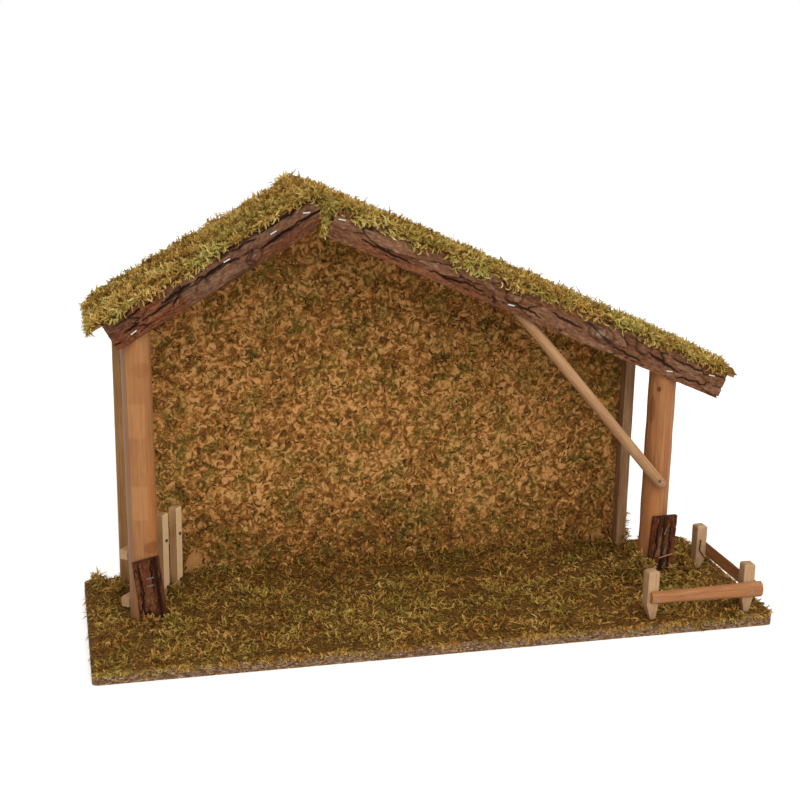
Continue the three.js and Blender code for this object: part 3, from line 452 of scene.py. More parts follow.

# %% [markdown]
# ## Glued wall coat
# The wall board was brushed with glue and strewn with crumbs of moss and bark. It looks mottled: tan patches
# of 2 to 6 mm, where bare board shows, lie among curls of orange-brown and olive. A distorted noise gives
# the curly outlines. A second, slower one tints some of the darker curls olive. Towards the foot of the wall
# the coat is darker, and more crumbs lie there. Larger crumbs are real and lie on top.

# %% Wall coat
wall_coat, tree, shader = new_material("board with glued crumbs", 0.95)
place = add_node(tree, "TexCoord").outputs["Object"]
curls = add_node(tree, "TexNoise", {
    "Vector": place, "Scale": 158.0, "Detail": 5.0, "Roughness": 0.64, "Distortion": 1.0,
}).outputs[0]
clouds = add_node(tree, "TexNoise", {"Vector": place, "Scale": 19.0, "Detail": 2.0}).outputs[0]
mottled = add_node(tree, "Math", {0: clouds, 1: 0.16, 2: curls}, operation="MULTIPLY_ADD").outputs[0]
over_ground = add_node(tree, "SeparateXYZ", {0: place}).outputs[2]
# The coat gets darker towards the foot of the wall.
darker_near_foot = add_node(tree, "MapRange", {0: over_ground, 1: 20 * MM, 2: 95 * MM, 3: 0.052, 4: 0.0}).outputs[0]
cover = add_node(tree, "Math", {0: mottled, 1: darker_near_foot}, operation="ADD").outputs[0]
browns = add_node(tree, "ValToRGB", {0: cover}, stops=[
    (0.47, "#cd975b"), (0.54, "#b57e44"), (0.59, "#94622c"), (0.66, "#70471b"), (0.78, "#42270c"),
]).outputs[0]
olives = add_node(tree, "ValToRGB", {0: cover}, stops=[
    (0.47, "#c69255"), (0.54, "#a4773c"), (0.59, "#7c6027"), (0.66, "#5b4717"), (0.78, "#37290c"),
]).outputs[0]
tint = add_node(tree, "TexNoise", {"Vector": place, "Scale": 45.0, "Detail": 3.0}).outputs[0]
olive_share = add_node(tree, "MapRange", {0: tint, 1: 0.48, 2: 0.62, 3: 0.0, 4: 1.0}).outputs[0]
colour = add_node(tree, "Mix", {0: olive_share, 6: browns, 7: olives}, data_type="RGBA").outputs[2]
finish_shader(tree, shader, colour, cover, depth=1.2, strength=0.6)

# %% [markdown]
# ## Steel
# The staples are bright drawn wire, duller in the slabs. The nails of the yard are plain steel that has gone
# grey, and those of the pickets and the brace are blued, so they look like dark dots. Bare steel is a
# full metal, with fine scratches that break up its reflections. Its colour and roughness tell the three
# kinds apart.

# %% Steel
def steel(name, code, smoothest, roughest):
    material, tree, shader = new_material(name, roughest, shine=0.5)
    shader.inputs["Metallic"].default_value = 1.0
    place = add_node(tree, "TexCoord").outputs["Object"]
    scratches = add_node(tree, "TexNoise", {"Vector": place, "Scale": 2600.0, "Detail": 3.0}).outputs[0]
    worn = add_node(tree, "Mix", {0: scratches, 6: linear(code), 7: (0, 0, 0, 1)}, data_type="RGBA").outputs[2]
    colour = add_node(tree, "Mix", {0: 0.25, 6: linear(code), 7: worn}, data_type="RGBA").outputs[2]
    tree.links.new(colour, shader.inputs["Base Color"])
    rough = add_node(tree, "MapRange", {0: scratches, 3: smoothest, 4: roughest}).outputs[0]
    tree.links.new(rough, shader.inputs["Roughness"])
    return material


wire_steel = steel("drawn steel wire, bright", "#d2d1cc", 0.22, 0.5)
dull_steel = steel("nail steel, dull", "#8c8984", 0.4, 0.65)
blued_steel = steel("nail steel, blued", "#655a50", 0.45, 0.7)
print(len(bpy.data.materials), "materials ready")

# %% [markdown]
# ## Noise for meshes
# Nothing on the stable is straight, so every mesh needs a little disorder that is the same on each run.
# Value noise is the simplest kind: random numbers on a grid, smoothed in between. Whole arrays go through
# it at once, which is far quicker than a loop over points.

# %% Value noise
def lattice(i, j, seed):
    """A random number from 0 to 1 for each grid corner."""
    h = (i.astype(np.int64) * 374761393 + j.astype(np.int64) * 668265263 + seed * 974634777) & 0xFFFFFFFF
    h = ((h ^ (h >> 13)) * 1274126177) & 0xFFFFFFFF
    return (h ^ (h >> 16)) / 0xFFFFFFFF


def lumps(x, y, seed):
    """Smooth noise from 0 to 1 that changes over a distance of about 1."""
    i, j = np.floor(x), np.floor(y)
    u, v = x - i, y - j
    u, v = u * u * (3 - 2 * u), v * v * (3 - 2 * v)
    low = lattice(i, j, seed) * (1 - u) + lattice(i + 1, j, seed) * u
    high = lattice(i, j + 1, seed) * (1 - u) + lattice(i + 1, j + 1, seed) * u
    return low * (1 - v) + high * v


def rough_lumps(x, y, seed):
    """Three sizes of noise on top of each other."""
    return (lumps(x, y, seed) + 0.5 * lumps(2 * x, 2 * y, seed + 1) + 0.25 * lumps(4 * x, 4 * y, seed + 2)) / 1.75


# %% [markdown]
# Bark needs plates with borders. For that, a point is scattered in each cell of a grid, and every place
# belongs to its nearest point. The gap between the nearest and the second nearest is small at a border.
# The offset from the point lets a plate slope from one side to the other.

# %% Plates
def plates(x, y, seed):
    """For each place: a random number of its plate, the distance from the border and the offset across."""
    i, j = np.floor(x), np.floor(y)
    nearest = np.full(x.shape, 9.0)
    second = np.full(x.shape, 9.0)
    own = np.zeros(x.shape)
    across = np.zeros(x.shape)
    for di in (-1, 0, 1):
        for dj in (-1, 0, 1):
            a, b = i + di, j + dj
            offset = b + lattice(a, b, seed + 1) - y
            distance = np.hypot(a + lattice(a, b, seed) - x, offset)
            closer = distance < nearest
            second = np.where(closer, nearest, np.minimum(second, distance))
            own = np.where(closer, lattice(a, b, seed + 2), own)
            across = np.where(closer, offset, across)
            nearest = np.where(closer, distance, nearest)
    return own, second - nearest, across


# %% [markdown]
# ## From points to a piece
# This function turns an array of points and faces into an object, stores any numbers that its material
# reads, and lets it ride on the stable. The stable has no moving parts, so its one body is "root".

# %% Make a piece
def make_piece(name, points, faces, material, slot, replaced=(), smooth=True, sharp=None, **numbers):
    mesh = bpy.data.meshes.new(name)
    mesh.from_pydata((np.asarray(points) * MM).tolist(), [], faces)
    mesh.polygons.foreach_set("use_smooth", [smooth] * len(mesh.polygons))
    if sharp is not None:
        mesh.set_sharp_from_angle(angle=math.radians(sharp))
    for key, values in numbers.items():
        values = np.asarray(values, np.float32)
        kind, field = ("FLOAT_VECTOR", "vector") if values.ndim == 2 else ("FLOAT", "value")
        mesh.attributes.new(key, kind, "POINT").data.foreach_set(field, values.ravel())
    mesh.materials.append(material)
    piece = bpy.data.objects.new(name, mesh)
    bpy.context.scene.collection.objects.link(piece)
    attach(piece, "root")
    if replaced:
        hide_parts(*replaced)
    print(name, len(mesh.polygons), "faces")
    return piece


def ring_faces(rings, count):
    """Quads between rings of points, and one face to close each end."""
    faces = []
    for r in range(rings - 1):
        a = r * count
        faces += [(a + k, a + (k + 1) % count, a + count + (k + 1) % count, a + count + k) for k in range(count)]
    last = (rings - 1) * count
    faces.append(tuple(reversed(range(count))))
    faces.append(tuple(range(last, last + count)))
    return faces


# %% [markdown]
# ## Sections
# A stick is one cross-section carried along a line. Three sections cover all sticks of the stable: a circle
# for the peeled ones, a square with slightly rounded corners for the sawn ones, and a half circle for a
# stick that was split down the middle. Each is drawn from -1 to 1, and scaled later.

# %% Sections
def circle(count=40):
    angle = np.arange(count) / count * 2 * np.pi
    return np.stack([np.cos(angle), np.sin(angle)], -1)


def square(corner=0.14):
    """A square with round corners. Each side has extra points, so that it can be a little uneven."""
    turns = np.radians([0, 30, 60, 90])
    sides = np.array([0.05, 0.35, 0.65, 0.95])
    section = []
    for k, (a, b) in enumerate([(1, 1), (-1, 1), (-1, -1), (1, -1)]):
        angle = turns + k * np.pi / 2
        arc = np.stack([np.cos(angle), np.sin(angle)], -1) * corner + np.array([a, b]) * (1 - corner)
        section.append(arc)
        quarter = np.array([[0, -1], [1, 0]])
        following = arc[0] @ quarter.T
        section.append(arc[-1] + (following - arc[-1]) * sides[:, None])
    return np.concatenate(section)


def half_circle(count=24):
    angle = np.linspace(0, np.pi, count)
    arc = np.stack([np.cos(angle), np.sin(angle)], -1)
    flat = np.stack([np.linspace(-0.9, 0.9, 7), np.zeros(7)], -1)
    return np.concatenate([arc, flat])


# %% [markdown]
# ## Sticks
# The builder carries a section from a start to an end. The radius wobbles a little along the stick, because
# no stick is perfect. The ends are drawn in over the last half millimetre, which breaks the sharp edge. A
# stick may end at a slanting plane, as the posts do under the roof: then every line of points along it gets
# its own length. A profile may make it thinner or thicker on the way, and move it sideways where more was
# whittled off one side than off the other.

# %% Stick builder
def straight(t):
    """How wide and how deep the stick is at a share t of its length, and how far it is moved sideways."""
    return 1.0, 1.0, 0.0


def stick(name, start, end, material, slot, replaced, section, half_u, half_v, wobble=0.02, rings=40,
          across=(1, 0, 0), profile=straight, lid=None, bow=0.0, seed=1, sharp=40):
    """Carries a section along a line. Half_u and half_v are its half widths, and lid is the slanting plane."""
    start, end = np.array(start, float), np.array(end, float)
    length = np.linalg.norm(end - start)
    axis = (end - start) / length
    u = np.array(across, float) - np.dot(across, axis) * axis
    u /= np.linalg.norm(u)
    v = np.cross(axis, u)
    edge = 0.5 / length
    t = np.concatenate([[0.0], np.linspace(edge, 1 - edge, rings), [1.0]])[:, None]
    turn_around = np.arctan2(section[:, 1], section[:, 0])[None, :]
    uneven = lumps(np.cos(turn_around) * 1.2 + 7 + 0 * t, t * length / 20 + np.sin(turn_around), seed) - 0.5
    size = 1 + wobble * 2 * uneven
    size[[0, -1]] -= 0.4 / max(half_u, half_v)
    wide, deep, aside = profile(t)
    out_u = section[None, :, 0] * half_u * size * wide + aside
    out_v = section[None, :, 1] * half_v * size * deep
    base = start + out_u[..., None] * u + out_v[..., None] * v
    reach = np.full(out_u.shape, length)
    if lid is not None:
        top = base[-1] + axis * length
        slope = (lid(top[:, 0] + 0.01) - lid(top[:, 0])) / 0.01
        reach = reach - (top[:, 2] - lid(top[:, 0])) / (axis[2] - axis[0] * slope)
    points = base + axis * (t * reach)[..., None]
    points[..., 0] -= bow * t ** 2
    grain = np.stack([out_u, out_v, t * reach], -1) + grain_start(seed)
    return make_piece(name, points.reshape(-1, 3), ring_faces(len(t), len(section)), material, slot, replaced,
                      sharp=sharp, grain=grain.reshape(-1, 3))


# %% [markdown]
# ## The roof line
# Posts, bark and moss all follow the roof, so its upper face is needed as a height over x. The ridge lies
# where the two CAD roof boards meet, and the left slope is steeper than the right one.

# %% Roof line
left_end = corners("roof_board_left")[1][0]
right_start = corners("roof_board_right")[0][0]
RIDGE_X = (left_end + right_start) / 2
RIDGE_Z = 379.0
LEFT_PITCH, RIGHT_PITCH = math.radians(30.0), math.radians(23.3)


def roof_at(x, drop=0.0):
    """Height of the roof's upper face, lowered by a drop square to the slope."""
    pitch = np.where(np.asarray(x) < RIDGE_X, LEFT_PITCH, RIGHT_PITCH)
    return RIDGE_Z - np.abs(np.asarray(x) - RIDGE_X) * np.tan(pitch) - drop / np.cos(pitch)


POST_DROP = 13.6


def under_rafters(x):
    return roof_at(x, POST_DROP)


print("ridge at x", round(float(RIDGE_X), 1), "and z", RIDGE_Z, "mm")

# %% [markdown]
# ## Front posts
# The two posts are young spruce stems with the bark peeled off. They are nearly round, a little uneven,
# and cut to the slope at the top. The left one bends outwards by a millimetre or two.

# %% Front posts
GAP = 0.3
STAND = board_high[2] + GAP
frame_front = corners("front_rafter_left")[0][1]
LEFT_POST, RIGHT_POST = (-250.0, frame_front + 12.8), (226.0, frame_front + 12.75)
stick("left_post", (*LEFT_POST, STAND), (*LEFT_POST, under_rafters(LEFT_POST[0])), left_post_spruce,
      "peeled_wood", ["front_left_post"], circle(52), half_u=12.7, half_v=12.7, wobble=0.025, rings=70,
      lid=under_rafters, bow=1.5, seed=LEFT_POST_GRAIN)
stick("right_post", (*RIGHT_POST, STAND), (*RIGHT_POST, under_rafters(RIGHT_POST[0])), right_post_spruce,
      "peeled_wood", ["front_right_post"], circle(52), half_u=12.6, half_v=12.6, wobble=0.02, rings=70,
      lid=under_rafters, seed=RIGHT_POST_GRAIN)

# %% [markdown]
# ## Back battens
# The back corners are plain sawn battens of 10 by 12 mm with slightly rounded edges.

# %% Back battens
for name, wood, slot in (("back_left_batten", tan_batten, "peeled_wood"),
                         ("back_right_batten", grey_batten, "grey_wood")):
    low, high = corners(name)
    x, y = (low[0] + high[0]) / 2, (low[1] + high[1]) / 2
    stick(name + "_sawn", (x, y, low[2]), (x, y, high[2]), wood, slot, [name], square(0.08),
          half_u=(high[0] - low[0]) / 2, half_v=(high[1] - low[1]) / 2, wobble=0.012, rings=60, lid=under_rafters,
          seed=15 + len(name))

# %% [markdown]
# ## Yard pegs and pickets
# The pegs are square sticks with a whittled foot and a top whose edges are pared off. A profile gives their
# thickness on the way up. The knife took more off one side of each foot, so its middle lies off the axis.
# The pickets of the left fence are the same, only thinner and taller.

# %% Whittled profile
FOOT_END, CROWN_PARED = 0.46, 0.28


def whittled(foot_share, crown_share, foot_shift):
    """A profile with a tapered foot up to one share of the length, and a pared crown from another."""
    def profile(t):
        up_the_foot = np.clip(t / foot_share, 0, 1)
        crown = np.clip(1 - (t - crown_share) / (1 - crown_share) * CROWN_PARED, 0, 1)
        thickness = np.minimum(FOOT_END + up_the_foot * (1 - FOOT_END), crown)
        return thickness, thickness, foot_shift * (1 - up_the_foot)
    return profile


# %% [markdown]
# No peg was driven in quite straight, so each is turned by a few degrees. The left fence stands at an angle
# of 51 degrees to the stable's front, and its pickets are turned with it.

# %% Pegs and pickets
FENCE_TURN = math.radians(51)
PEGS = [("yard_peg_inner", 2.6, 3), ("yard_peg_corner", 0.8, -2), ("yard_peg_rear", -2.6, 4)]
PICKETS = {"left_picket_near": (-230.9, 44.1), "left_picket_far": (-217.5, 60.5)}
for k, (name, foot_shift, degrees) in enumerate(PEGS):
    low, high = corners(name)
    x, y = (low[0] + high[0]) / 2, (low[1] + high[1]) / 2
    lean = math.radians(degrees)
    stick(name + "_whittled", (x, y, low[2]), (x, y, high[2]), whittled_poplar, "pale_wood", [name], square(0.1),
          half_u=5.3, half_v=5.3, wobble=0.012, rings=60, across=(math.cos(lean), math.sin(lean), 0),
          profile=whittled(0.32, 0.968, foot_shift), seed=20 + k)
for (name, (x, y)), seed in zip(PICKETS.items(), PICKET_GRAIN):
    low, high = corners(name)
    stick(name + "_sawn", (x, y, low[2]), (x, y, high[2]), sawn_poplar, "pale_wood", [name], square(0.12),
          half_u=4.15, half_v=4.15, wobble=0.02, rings=60, across=(math.cos(FENCE_TURN), math.sin(FENCE_TURN), 0),
          profile=whittled(0.17, 0.984, -1.8), seed=seed)

# %% [markdown]
# ## Brace
# The brace is a peeled hazel stick with a domed lower end. It runs from the front of the right post up to
# the rafter, where it is cut to the slope. Its dome is a quarter circle over the first 5 mm. It rises
# faster than the roof falls towards it, and where the two meet gives its upper end.

# %% Brace
BRACE_RADIUS = 5.0
BRACE_FOOT = np.array([226.0, -11.3, 106.0])
BRACE_PITCH = math.radians(49.4)
run = (under_rafters(BRACE_FOOT[0]) - BRACE_FOOT[2]) / (math.tan(BRACE_PITCH) - math.tan(RIGHT_PITCH))
brace_rise = run * math.tan(BRACE_PITCH)
brace_head = np.array([BRACE_FOOT[0] - run, frame_front + BRACE_RADIUS + 1.5, BRACE_FOOT[2] + brace_rise])
brace_length = float(np.linalg.norm(brace_head - BRACE_FOOT))


def domed(t):
    into = np.clip(t * brace_length / BRACE_RADIUS, 0, 1)
    round_end = np.sqrt(np.clip(1 - (1 - into) ** 2, 0.02, 1))
    return round_end, round_end, 0.0


stick("brace_stick", BRACE_FOOT, brace_head, peeled_hazel, "pale_wood", ["corner_brace"], circle(32),
      half_u=BRACE_RADIUS, half_v=BRACE_RADIUS, wobble=0.03, rings=260, across=(0, 1, 0), profile=domed,
      lid=under_rafters, seed=31)
print("brace", round(brace_length), "mm long")

# %% [markdown]
# ## Fence rails
# The yard's two rails are sticks split down the middle: flat at the back, round in front. The front one
# grows thicker to the right. The left fence has two plain sawn rails behind its pickets.

# %% Rails of the yard
YARD_RAIL_Z = 33.5
THIN_END = 0.73


def growing(t):
    return THIN_END + (1 - THIN_END) * t, 1.0, 0.0


low, high = corners("yard_rail_front")
stick("yard_front_rail", (low[0], high[1], YARD_RAIL_Z), (high[0], high[1], YARD_RAIL_Z), split_alder, "red_wood",
      ["yard_rail_front"], half_circle(), half_u=7.4, half_v=5.9, wobble=0.03, rings=90, across=(0, 0, 1),
      profile=growing, seed=41)
low, high = corners("yard_rail_side")
stick("yard_side_rail", (low[0], low[1], YARD_RAIL_Z), (low[0], high[1], YARD_RAIL_Z), split_alder, "red_wood",
      ["yard_rail_side"], half_circle(), half_u=6.2, half_v=3.9, wobble=0.03, rings=80, across=(0, 0, 1), seed=44)

# %% [markdown]
# The left rails lie at the fence's angle, so their CAD boxes are wider than long sticks need: what the
# rail's own 8.5 mm of width adds to the box is taken off before the length is worked out.

# %% Rails of the left fence
LEFT_RAIL_WIDTH = 8.5
fence_along = np.array([math.cos(FENCE_TURN), math.sin(FENCE_TURN), 0])
fence_face = np.array([math.sin(FENCE_TURN), -math.cos(FENCE_TURN), 0])
for k, name in enumerate(["left_rail_lower", "left_rail_upper"]):
    low, high = corners(name)
    middle = (low + high) / 2
    across_width = abs(fence_face[0]) * LEFT_RAIL_WIDTH
    half_length = (high[0] - low[0] - across_width) / 2 / fence_along[0]
    stick(name + "_sawn", middle - half_length * fence_along, middle + half_length * fence_along, whittled_poplar,
          "pale_wood", [name], square(0.1), half_u=4.5, half_v=4.2, wobble=0.012, rings=60, across=(0, 0, 1),
          seed=50 + k)

# %% [markdown]
# ## Boards, rafters and fasteners
# The flat boards, the hidden rafters and the steel keep their CAD shape and only get a finish. A key names
# all the nodes that hold it, and a later key wins over an earlier one.

# %% Finishes of the CAD nodes
finishes = {"base_board": chipboard, "back_wall": fibreboard, "roof_board": fibreboard, "rafter": raw_rafter,
            "staple": wire_steel, "post_bark_staple": dull_steel, "screw": wire_steel, "nail": dull_steel,
            "picket_near_nail": blued_steel, "picket_far_nail": blued_steel, "brace_nail": blued_steel}
for name, node in cad.items():
    for key, material in finishes.items():
        if key in name:
            node.data.materials.clear()
            node.data.materials.append(material)
print(sum(any(key in name for key in finishes) for name in cad), "CAD nodes keep their shape")

# %% [markdown]
# ## Bark as it grew
# A strip of bark is a long slab, flat where it lies on the wood and rough outside. Its face is a height over
# the strip, where s runs along it and w across, both in millimetres. Long plates overlap: each has its own
# height and slopes across, so that its edge makes a step. Small flakes and fibres lie on top, and cracks
# open along only some of the steps. The same numbers give the material its tone and its cracks, whose dark
# colour is partly painted shade.

# %% Bark as it grew
def grown_bark(s, w, v, thickness, plate_size, seed):
    """Depth, tone, cracks and fibres over a slab whose share of the width is v."""
    bend_s = s + 16 * rough_lumps(s / 22, w / 7, seed)
    bend_w = w + 6 * rough_lumps(s / 26, w / 9, seed + 1) + 1.2 * lumps(s / 4, w / 3, seed + 2)
    own, border, across = plates(bend_s / plate_size[0], bend_w / plate_size[1], seed + 3)
    small, _, small_across = plates(bend_s / 12, bend_w / 3.4, seed + 9)
    crack = np.clip(1 - border / 0.07, 0, 1) * np.clip((lumps(s / 15, w / 6, seed + 14) - 0.35) * 4, 0, 1)
    fibres = 0.5 * rough_lumps(bend_s / 24, bend_w / 1.1, seed + 20) - 0.6
    fibres += 0.7 * rough_lumps(s / 4.5, w / 2.2, seed + 24)
    rounding = 0.74 + 0.26 * np.sqrt(np.clip(1 - (2 * v - 1) ** 2, 0, 1))
    depth = thickness * rounding * (0.6 + 0.34 * own) + 1.1 * (own - 0.4) * across
    depth += 0.5 * (small - 0.5) + 0.5 * (small - 0.5) * small_across + 0.8 * fibres
    tone = 0.6 * own + 0.25 * small + 0.5 * fibres
    return depth, tone, crack, fibres


# %% [markdown]
# The largest plates, which everybody would notice, are listed one by one: each is a long flat box with a ragged
# border and a gap above it, whose dark colour is painted shade. One is written as its place along and across,
# half its length, half its width, and how far it stands out more than the rest.

# %% Plates laid by hand
def lay_plates(s, w, thickness, depth, tone, crack, fibres, proud, seed):
    for at_s, at_w, half_s, half_w, rise in proud:
        torn = 0.5 * (rough_lumps(s / 10, w / 6, seed + 50) - 0.5)
        inside = 1 - np.maximum(np.abs(s - at_s) / half_s, np.abs(w - at_w) / half_w) + torn
        plate = np.clip(inside * 7, 0, 1)
        depth = depth * (1 - 0.7 * plate) + (thickness - 1 + rise) * 0.7 * plate + 0.5 * fibres * plate
        tone = tone * (1 - 0.6 * plate) + 0.48 * plate + 0.4 * fibres * plate
        # Painted shade: the gap above each plate is darkened.
        above_it = np.clip((w - at_w) / half_w + 0.25, 0, 1)
        crack = crack * (1 - 0.6 * plate)
        crack = np.maximum(crack, 0.85 * above_it * np.exp(-(((inside + 0.1) / 0.1) ** 2)))
    return depth, tone, crack


# %% [markdown]
# The longest cracks are listed one by one too. One wanders from a first place to a second and is narrow at both
# ends. It is written as the two places, each along and across, and half its width. A knot is a ring with
# a paler middle, written as its place and its radius.

# %% Cracks and knots laid by hand
def open_cracks(s, w, crack, lines, seed):
    for s0, w0, s1, w1, half in lines:
        run_s, run_w = s1 - s0, w1 - w0
        share = np.clip(((s - s0) * run_s + (w - w0) * run_w) / (run_s ** 2 + run_w ** 2), 0, 1)
        wander = 2.4 * (lumps(s / 6, 0 * w, seed + 70) - 0.5) + 1.0 * (lumps(s / 2, 0 * w, seed + 71) - 0.5)
        aside = np.hypot(s - s0 - share * run_s, w - w0 - share * run_w + wander)
        narrow = half * (0.3 + 0.7 * np.sin(np.pi * share))
        crack = np.maximum(crack, np.clip(1.6 - aside / narrow, 0, 1))
    return crack


def grow_knots(s, w, depth, tone, crack, knots):
    for knot_s, knot_w, radius in knots:
        away = np.hypot((s - knot_s) / 1.3, w - knot_w) / radius
        depth = depth + 1.3 * np.exp(-(((away - 1) * 3) ** 2)) - 0.8 * np.exp(-((away * 2) ** 2))
        depth = depth + 0.35 * np.sin(away * 9) * np.exp(-(away ** 2))
        tone = tone + 0.5 * np.exp(-((away * 1.3) ** 2))
        crack = np.maximum(crack, 0.55 * np.exp(-(((away - 1.35) * 6) ** 2)))
    return depth, tone, crack


# %% [markdown]
# Bark tears rather than cuts. So both long edges waver, both ends are ragged, and one end can reach out in
# a tongue. This gives each point of the slab its place on the front of the stable.

# %% Torn outline
def torn_outline(foot_line, top_line, u, v, s, length, width, ragged, tongue, seed):
    along = foot_line[1] - foot_line[0]
    foot = foot_line[0] + along * u
    top = top_line[0] + (top_line[1] - top_line[0]) * u
    inward = (top - foot) / np.linalg.norm(top - foot, axis=1, keepdims=True)
    foot = foot + inward * ragged * 1.6 * rough_lumps(u * length / 11, u * 0 + 0.5, seed + 30)
    top = top - inward * ragged * 1.2 * rough_lumps(u * length / 9, u * 0 + 0.5, seed + 31)
    x = foot[:, :1] * (1 - v) + top[:, :1] * v
    z = foot[:, 1:] * (1 - v) + top[:, 1:] * v
    near_start, near_end = np.clip(1 - s / 6, 0, 1), np.clip(1 - (length - s) / 6, 0, 1)
    slide = 1.4 * ragged * rough_lumps(v * width / 4, v * 0 + 0.5, seed + 40) * (near_start - near_end)
    if tongue is not None:
        slide = slide + near_end * tongue(v)
    direction = along / length
    return x + slide * direction[0], z + slide * direction[1]


# %% [markdown]
# Where a CAD staple holds the bark, its crown has pressed the surface in, so each staple stays in sight.
# Half of its wire stands out, and the dent fades over 2.2 mm around it.

# %% Dents under the staples
BARK_BACK = corners("bark_strip_left")[1][1]
WIRE, DENT = 0.7, 2.2
staple_boxes = [corners(name) for name in cad if "staple" in name]


def pressed_in(depth, x, z):
    for staple_low, staple_high in staple_boxes:
        limit = BARK_BACK - staple_low[1] - 0.6 * WIRE
        middle, half = (staple_low + staple_high) / 2, (staple_high - staple_low) / 2 + DENT
        near = np.exp(-(((x - middle[0]) / half[0]) ** 2 + ((z - middle[2]) / half[2]) ** 2) ** 2)
        depth = depth - near * np.clip(depth - limit, 0, None)
    return depth


print(len(staple_boxes), "staples to press in")

# %% [markdown]
# ## Bark builder
# The slab is built like the sticks, ring by ring, but each ring is the outline of a slice: points over the
# rough face, then four back along the flat side. A groove, where there is one, is a valley along the slab
# at a share of its width, and its bottom is painted dark as painted shade.

# %% Bark builder
CRACK_DEPTH, THINNEST, MOST_PROUD = 2.0, 0.8, 1.2
GROOVE_DEPTH, GROOVE_WIDTH = 2.6, 1.8
BACK_ROWS, BACK_TONE = 4, 0.2


def bark_slab(name, foot_line, top_line, thickness, material, replaced, seed, bared, groove=None, tongue=None,
              knots=(), proud=(), cracks=(), plate_size=(42.0, 9.0), fine=0.7, ragged=1.0):
    foot_line, top_line = np.array(foot_line, float), np.array(top_line, float)
    length = np.linalg.norm(foot_line[1] - foot_line[0])
    width = np.linalg.norm(top_line[0] - foot_line[0])
    columns, rows = int(length / fine), int(width / fine)
    u = np.linspace(0, 1, columns + 1)[:, None]
    v = np.linspace(0, 1, rows + 1)[None, :]
    s, w = u * length + 0 * v, v * width + 0 * u

    depth, tone, crack, fibres = grown_bark(s, w, v, thickness, plate_size, seed)
    depth, tone, crack = lay_plates(s, w, thickness, depth, tone, crack, fibres, proud, seed)
    crack = open_cracks(s, w, crack, cracks, seed)
    if groove is not None:
        valley = np.exp(-(((v - groove) * width / GROOVE_WIDTH) ** 2)) + 0 * u
        depth = depth - GROOVE_DEPTH * valley
        # Painted shade: the bottom of the groove is darkened.
        crack = np.maximum(crack, 0.75 * valley)
    depth, tone, crack = grow_knots(s, w, depth, tone, crack, knots)
    depth = np.clip(depth - CRACK_DEPTH * crack, THINNEST, thickness + MOST_PROUD)
    drift = 5 * (rough_lumps(s / 8, w / 5, seed + 60) - 0.5)
    raw = np.clip(bared(s, w + drift), 0, 1)

    x, z = torn_outline(foot_line, top_line, u, v, s, length, width, ragged, tongue, seed)
    front = np.stack([x, BARK_BACK - pressed_in(depth, x, z), z], -1)
    index = np.round(np.linspace(1, 0, BACK_ROWS) * rows).astype(int)
    back = front[:, index].copy()
    back[..., 1] = BARK_BACK
    points = np.concatenate([front, back], 1)

    def with_back(values, share=1.0, plus=0.0):
        """The values of the face, and after them those of the flat side."""
        return np.concatenate([values, plus + share * values[:, index]], 1)

    grain = np.stack([with_back(w), points[..., 1], with_back(s)], -1) + grain_start(seed)
    return make_piece(name, points.reshape(-1, 3), ring_faces(columns + 1, rows + 1 + BACK_ROWS), material, "bark",
                      replaced, sharp=50, crack=with_back(crack, 0).ravel(),
                      plate=with_back(tone, 0, BACK_TONE).ravel(), raw=with_back(raw).ravel(),
                      grain=grain.reshape(-1, 3))


# %% [markdown]
# The left strip runs from the left eave up to the ridge, where its torn end is folded over the start of the
# right strip. Both are 27 mm wide and follow the upper face of the roof boards. On the left one, two plates
# lie along the lower edge and a long one along the upper edge, and the layers near the eave have broken
# off. A knot shows where a branch grew on the stem, and the right strip has four of them. Places on a strip
# are written as the distance from its start and the height over its lower edge.

# %% Where the strips lie
STRIP, STRIP_THICKNESS = 27.0, 6.6


def square_to_slope(x, side):
    """The strip's lower corner at its eave end, square to the slope."""
    pitch = LEFT_PITCH if side < 0 else RIGHT_PITCH
    return (x - side * STRIP * math.sin(pitch), float(roof_at(x)) - STRIP * math.cos(pitch))


def window(value, low, high, soft):
    """1 between two limits, falling to 0 outside them."""
    return np.clip((value - low) / soft + 0.5, 0, 1) * np.clip((high - value) / soft + 0.5, 0, 1)


def bared_left(s, w):
    near_eave = window(s, -9, 70, 8) * window(w, -9, 12, 5)
    patch = window(s, 26, 50, 6) * window(w, 13, 23, 4)
    along_the_foot = window(s, 132, 230, 10) * window(w, -9, 10, 4)
    torn_end = window(s, 190, 240, 8)
    return 0.85 * near_eave + 0.9 * patch + 0.55 * along_the_foot + 0.8 * torn_end


def bared_right(s, w):
    return 0.65 * window(s, 28, 155, 20) * window(w, -9, 8, 5) + 0.3 * window(s, 155, 420, 20) * window(w, -9, 4, 4)


def torn_tongue(v):
    """The left strip's torn end reaches 13.5 mm out, a little below the middle of its width."""
    return 13.5 * np.clip(1 - 2 * np.abs(v - 0.42), 0, 1)


# %% [markdown]
# Each strip is given by the line of its lower edge and the line of its upper edge. The plates, cracks and
# knots that are listed are those that stand out most on the real strips.

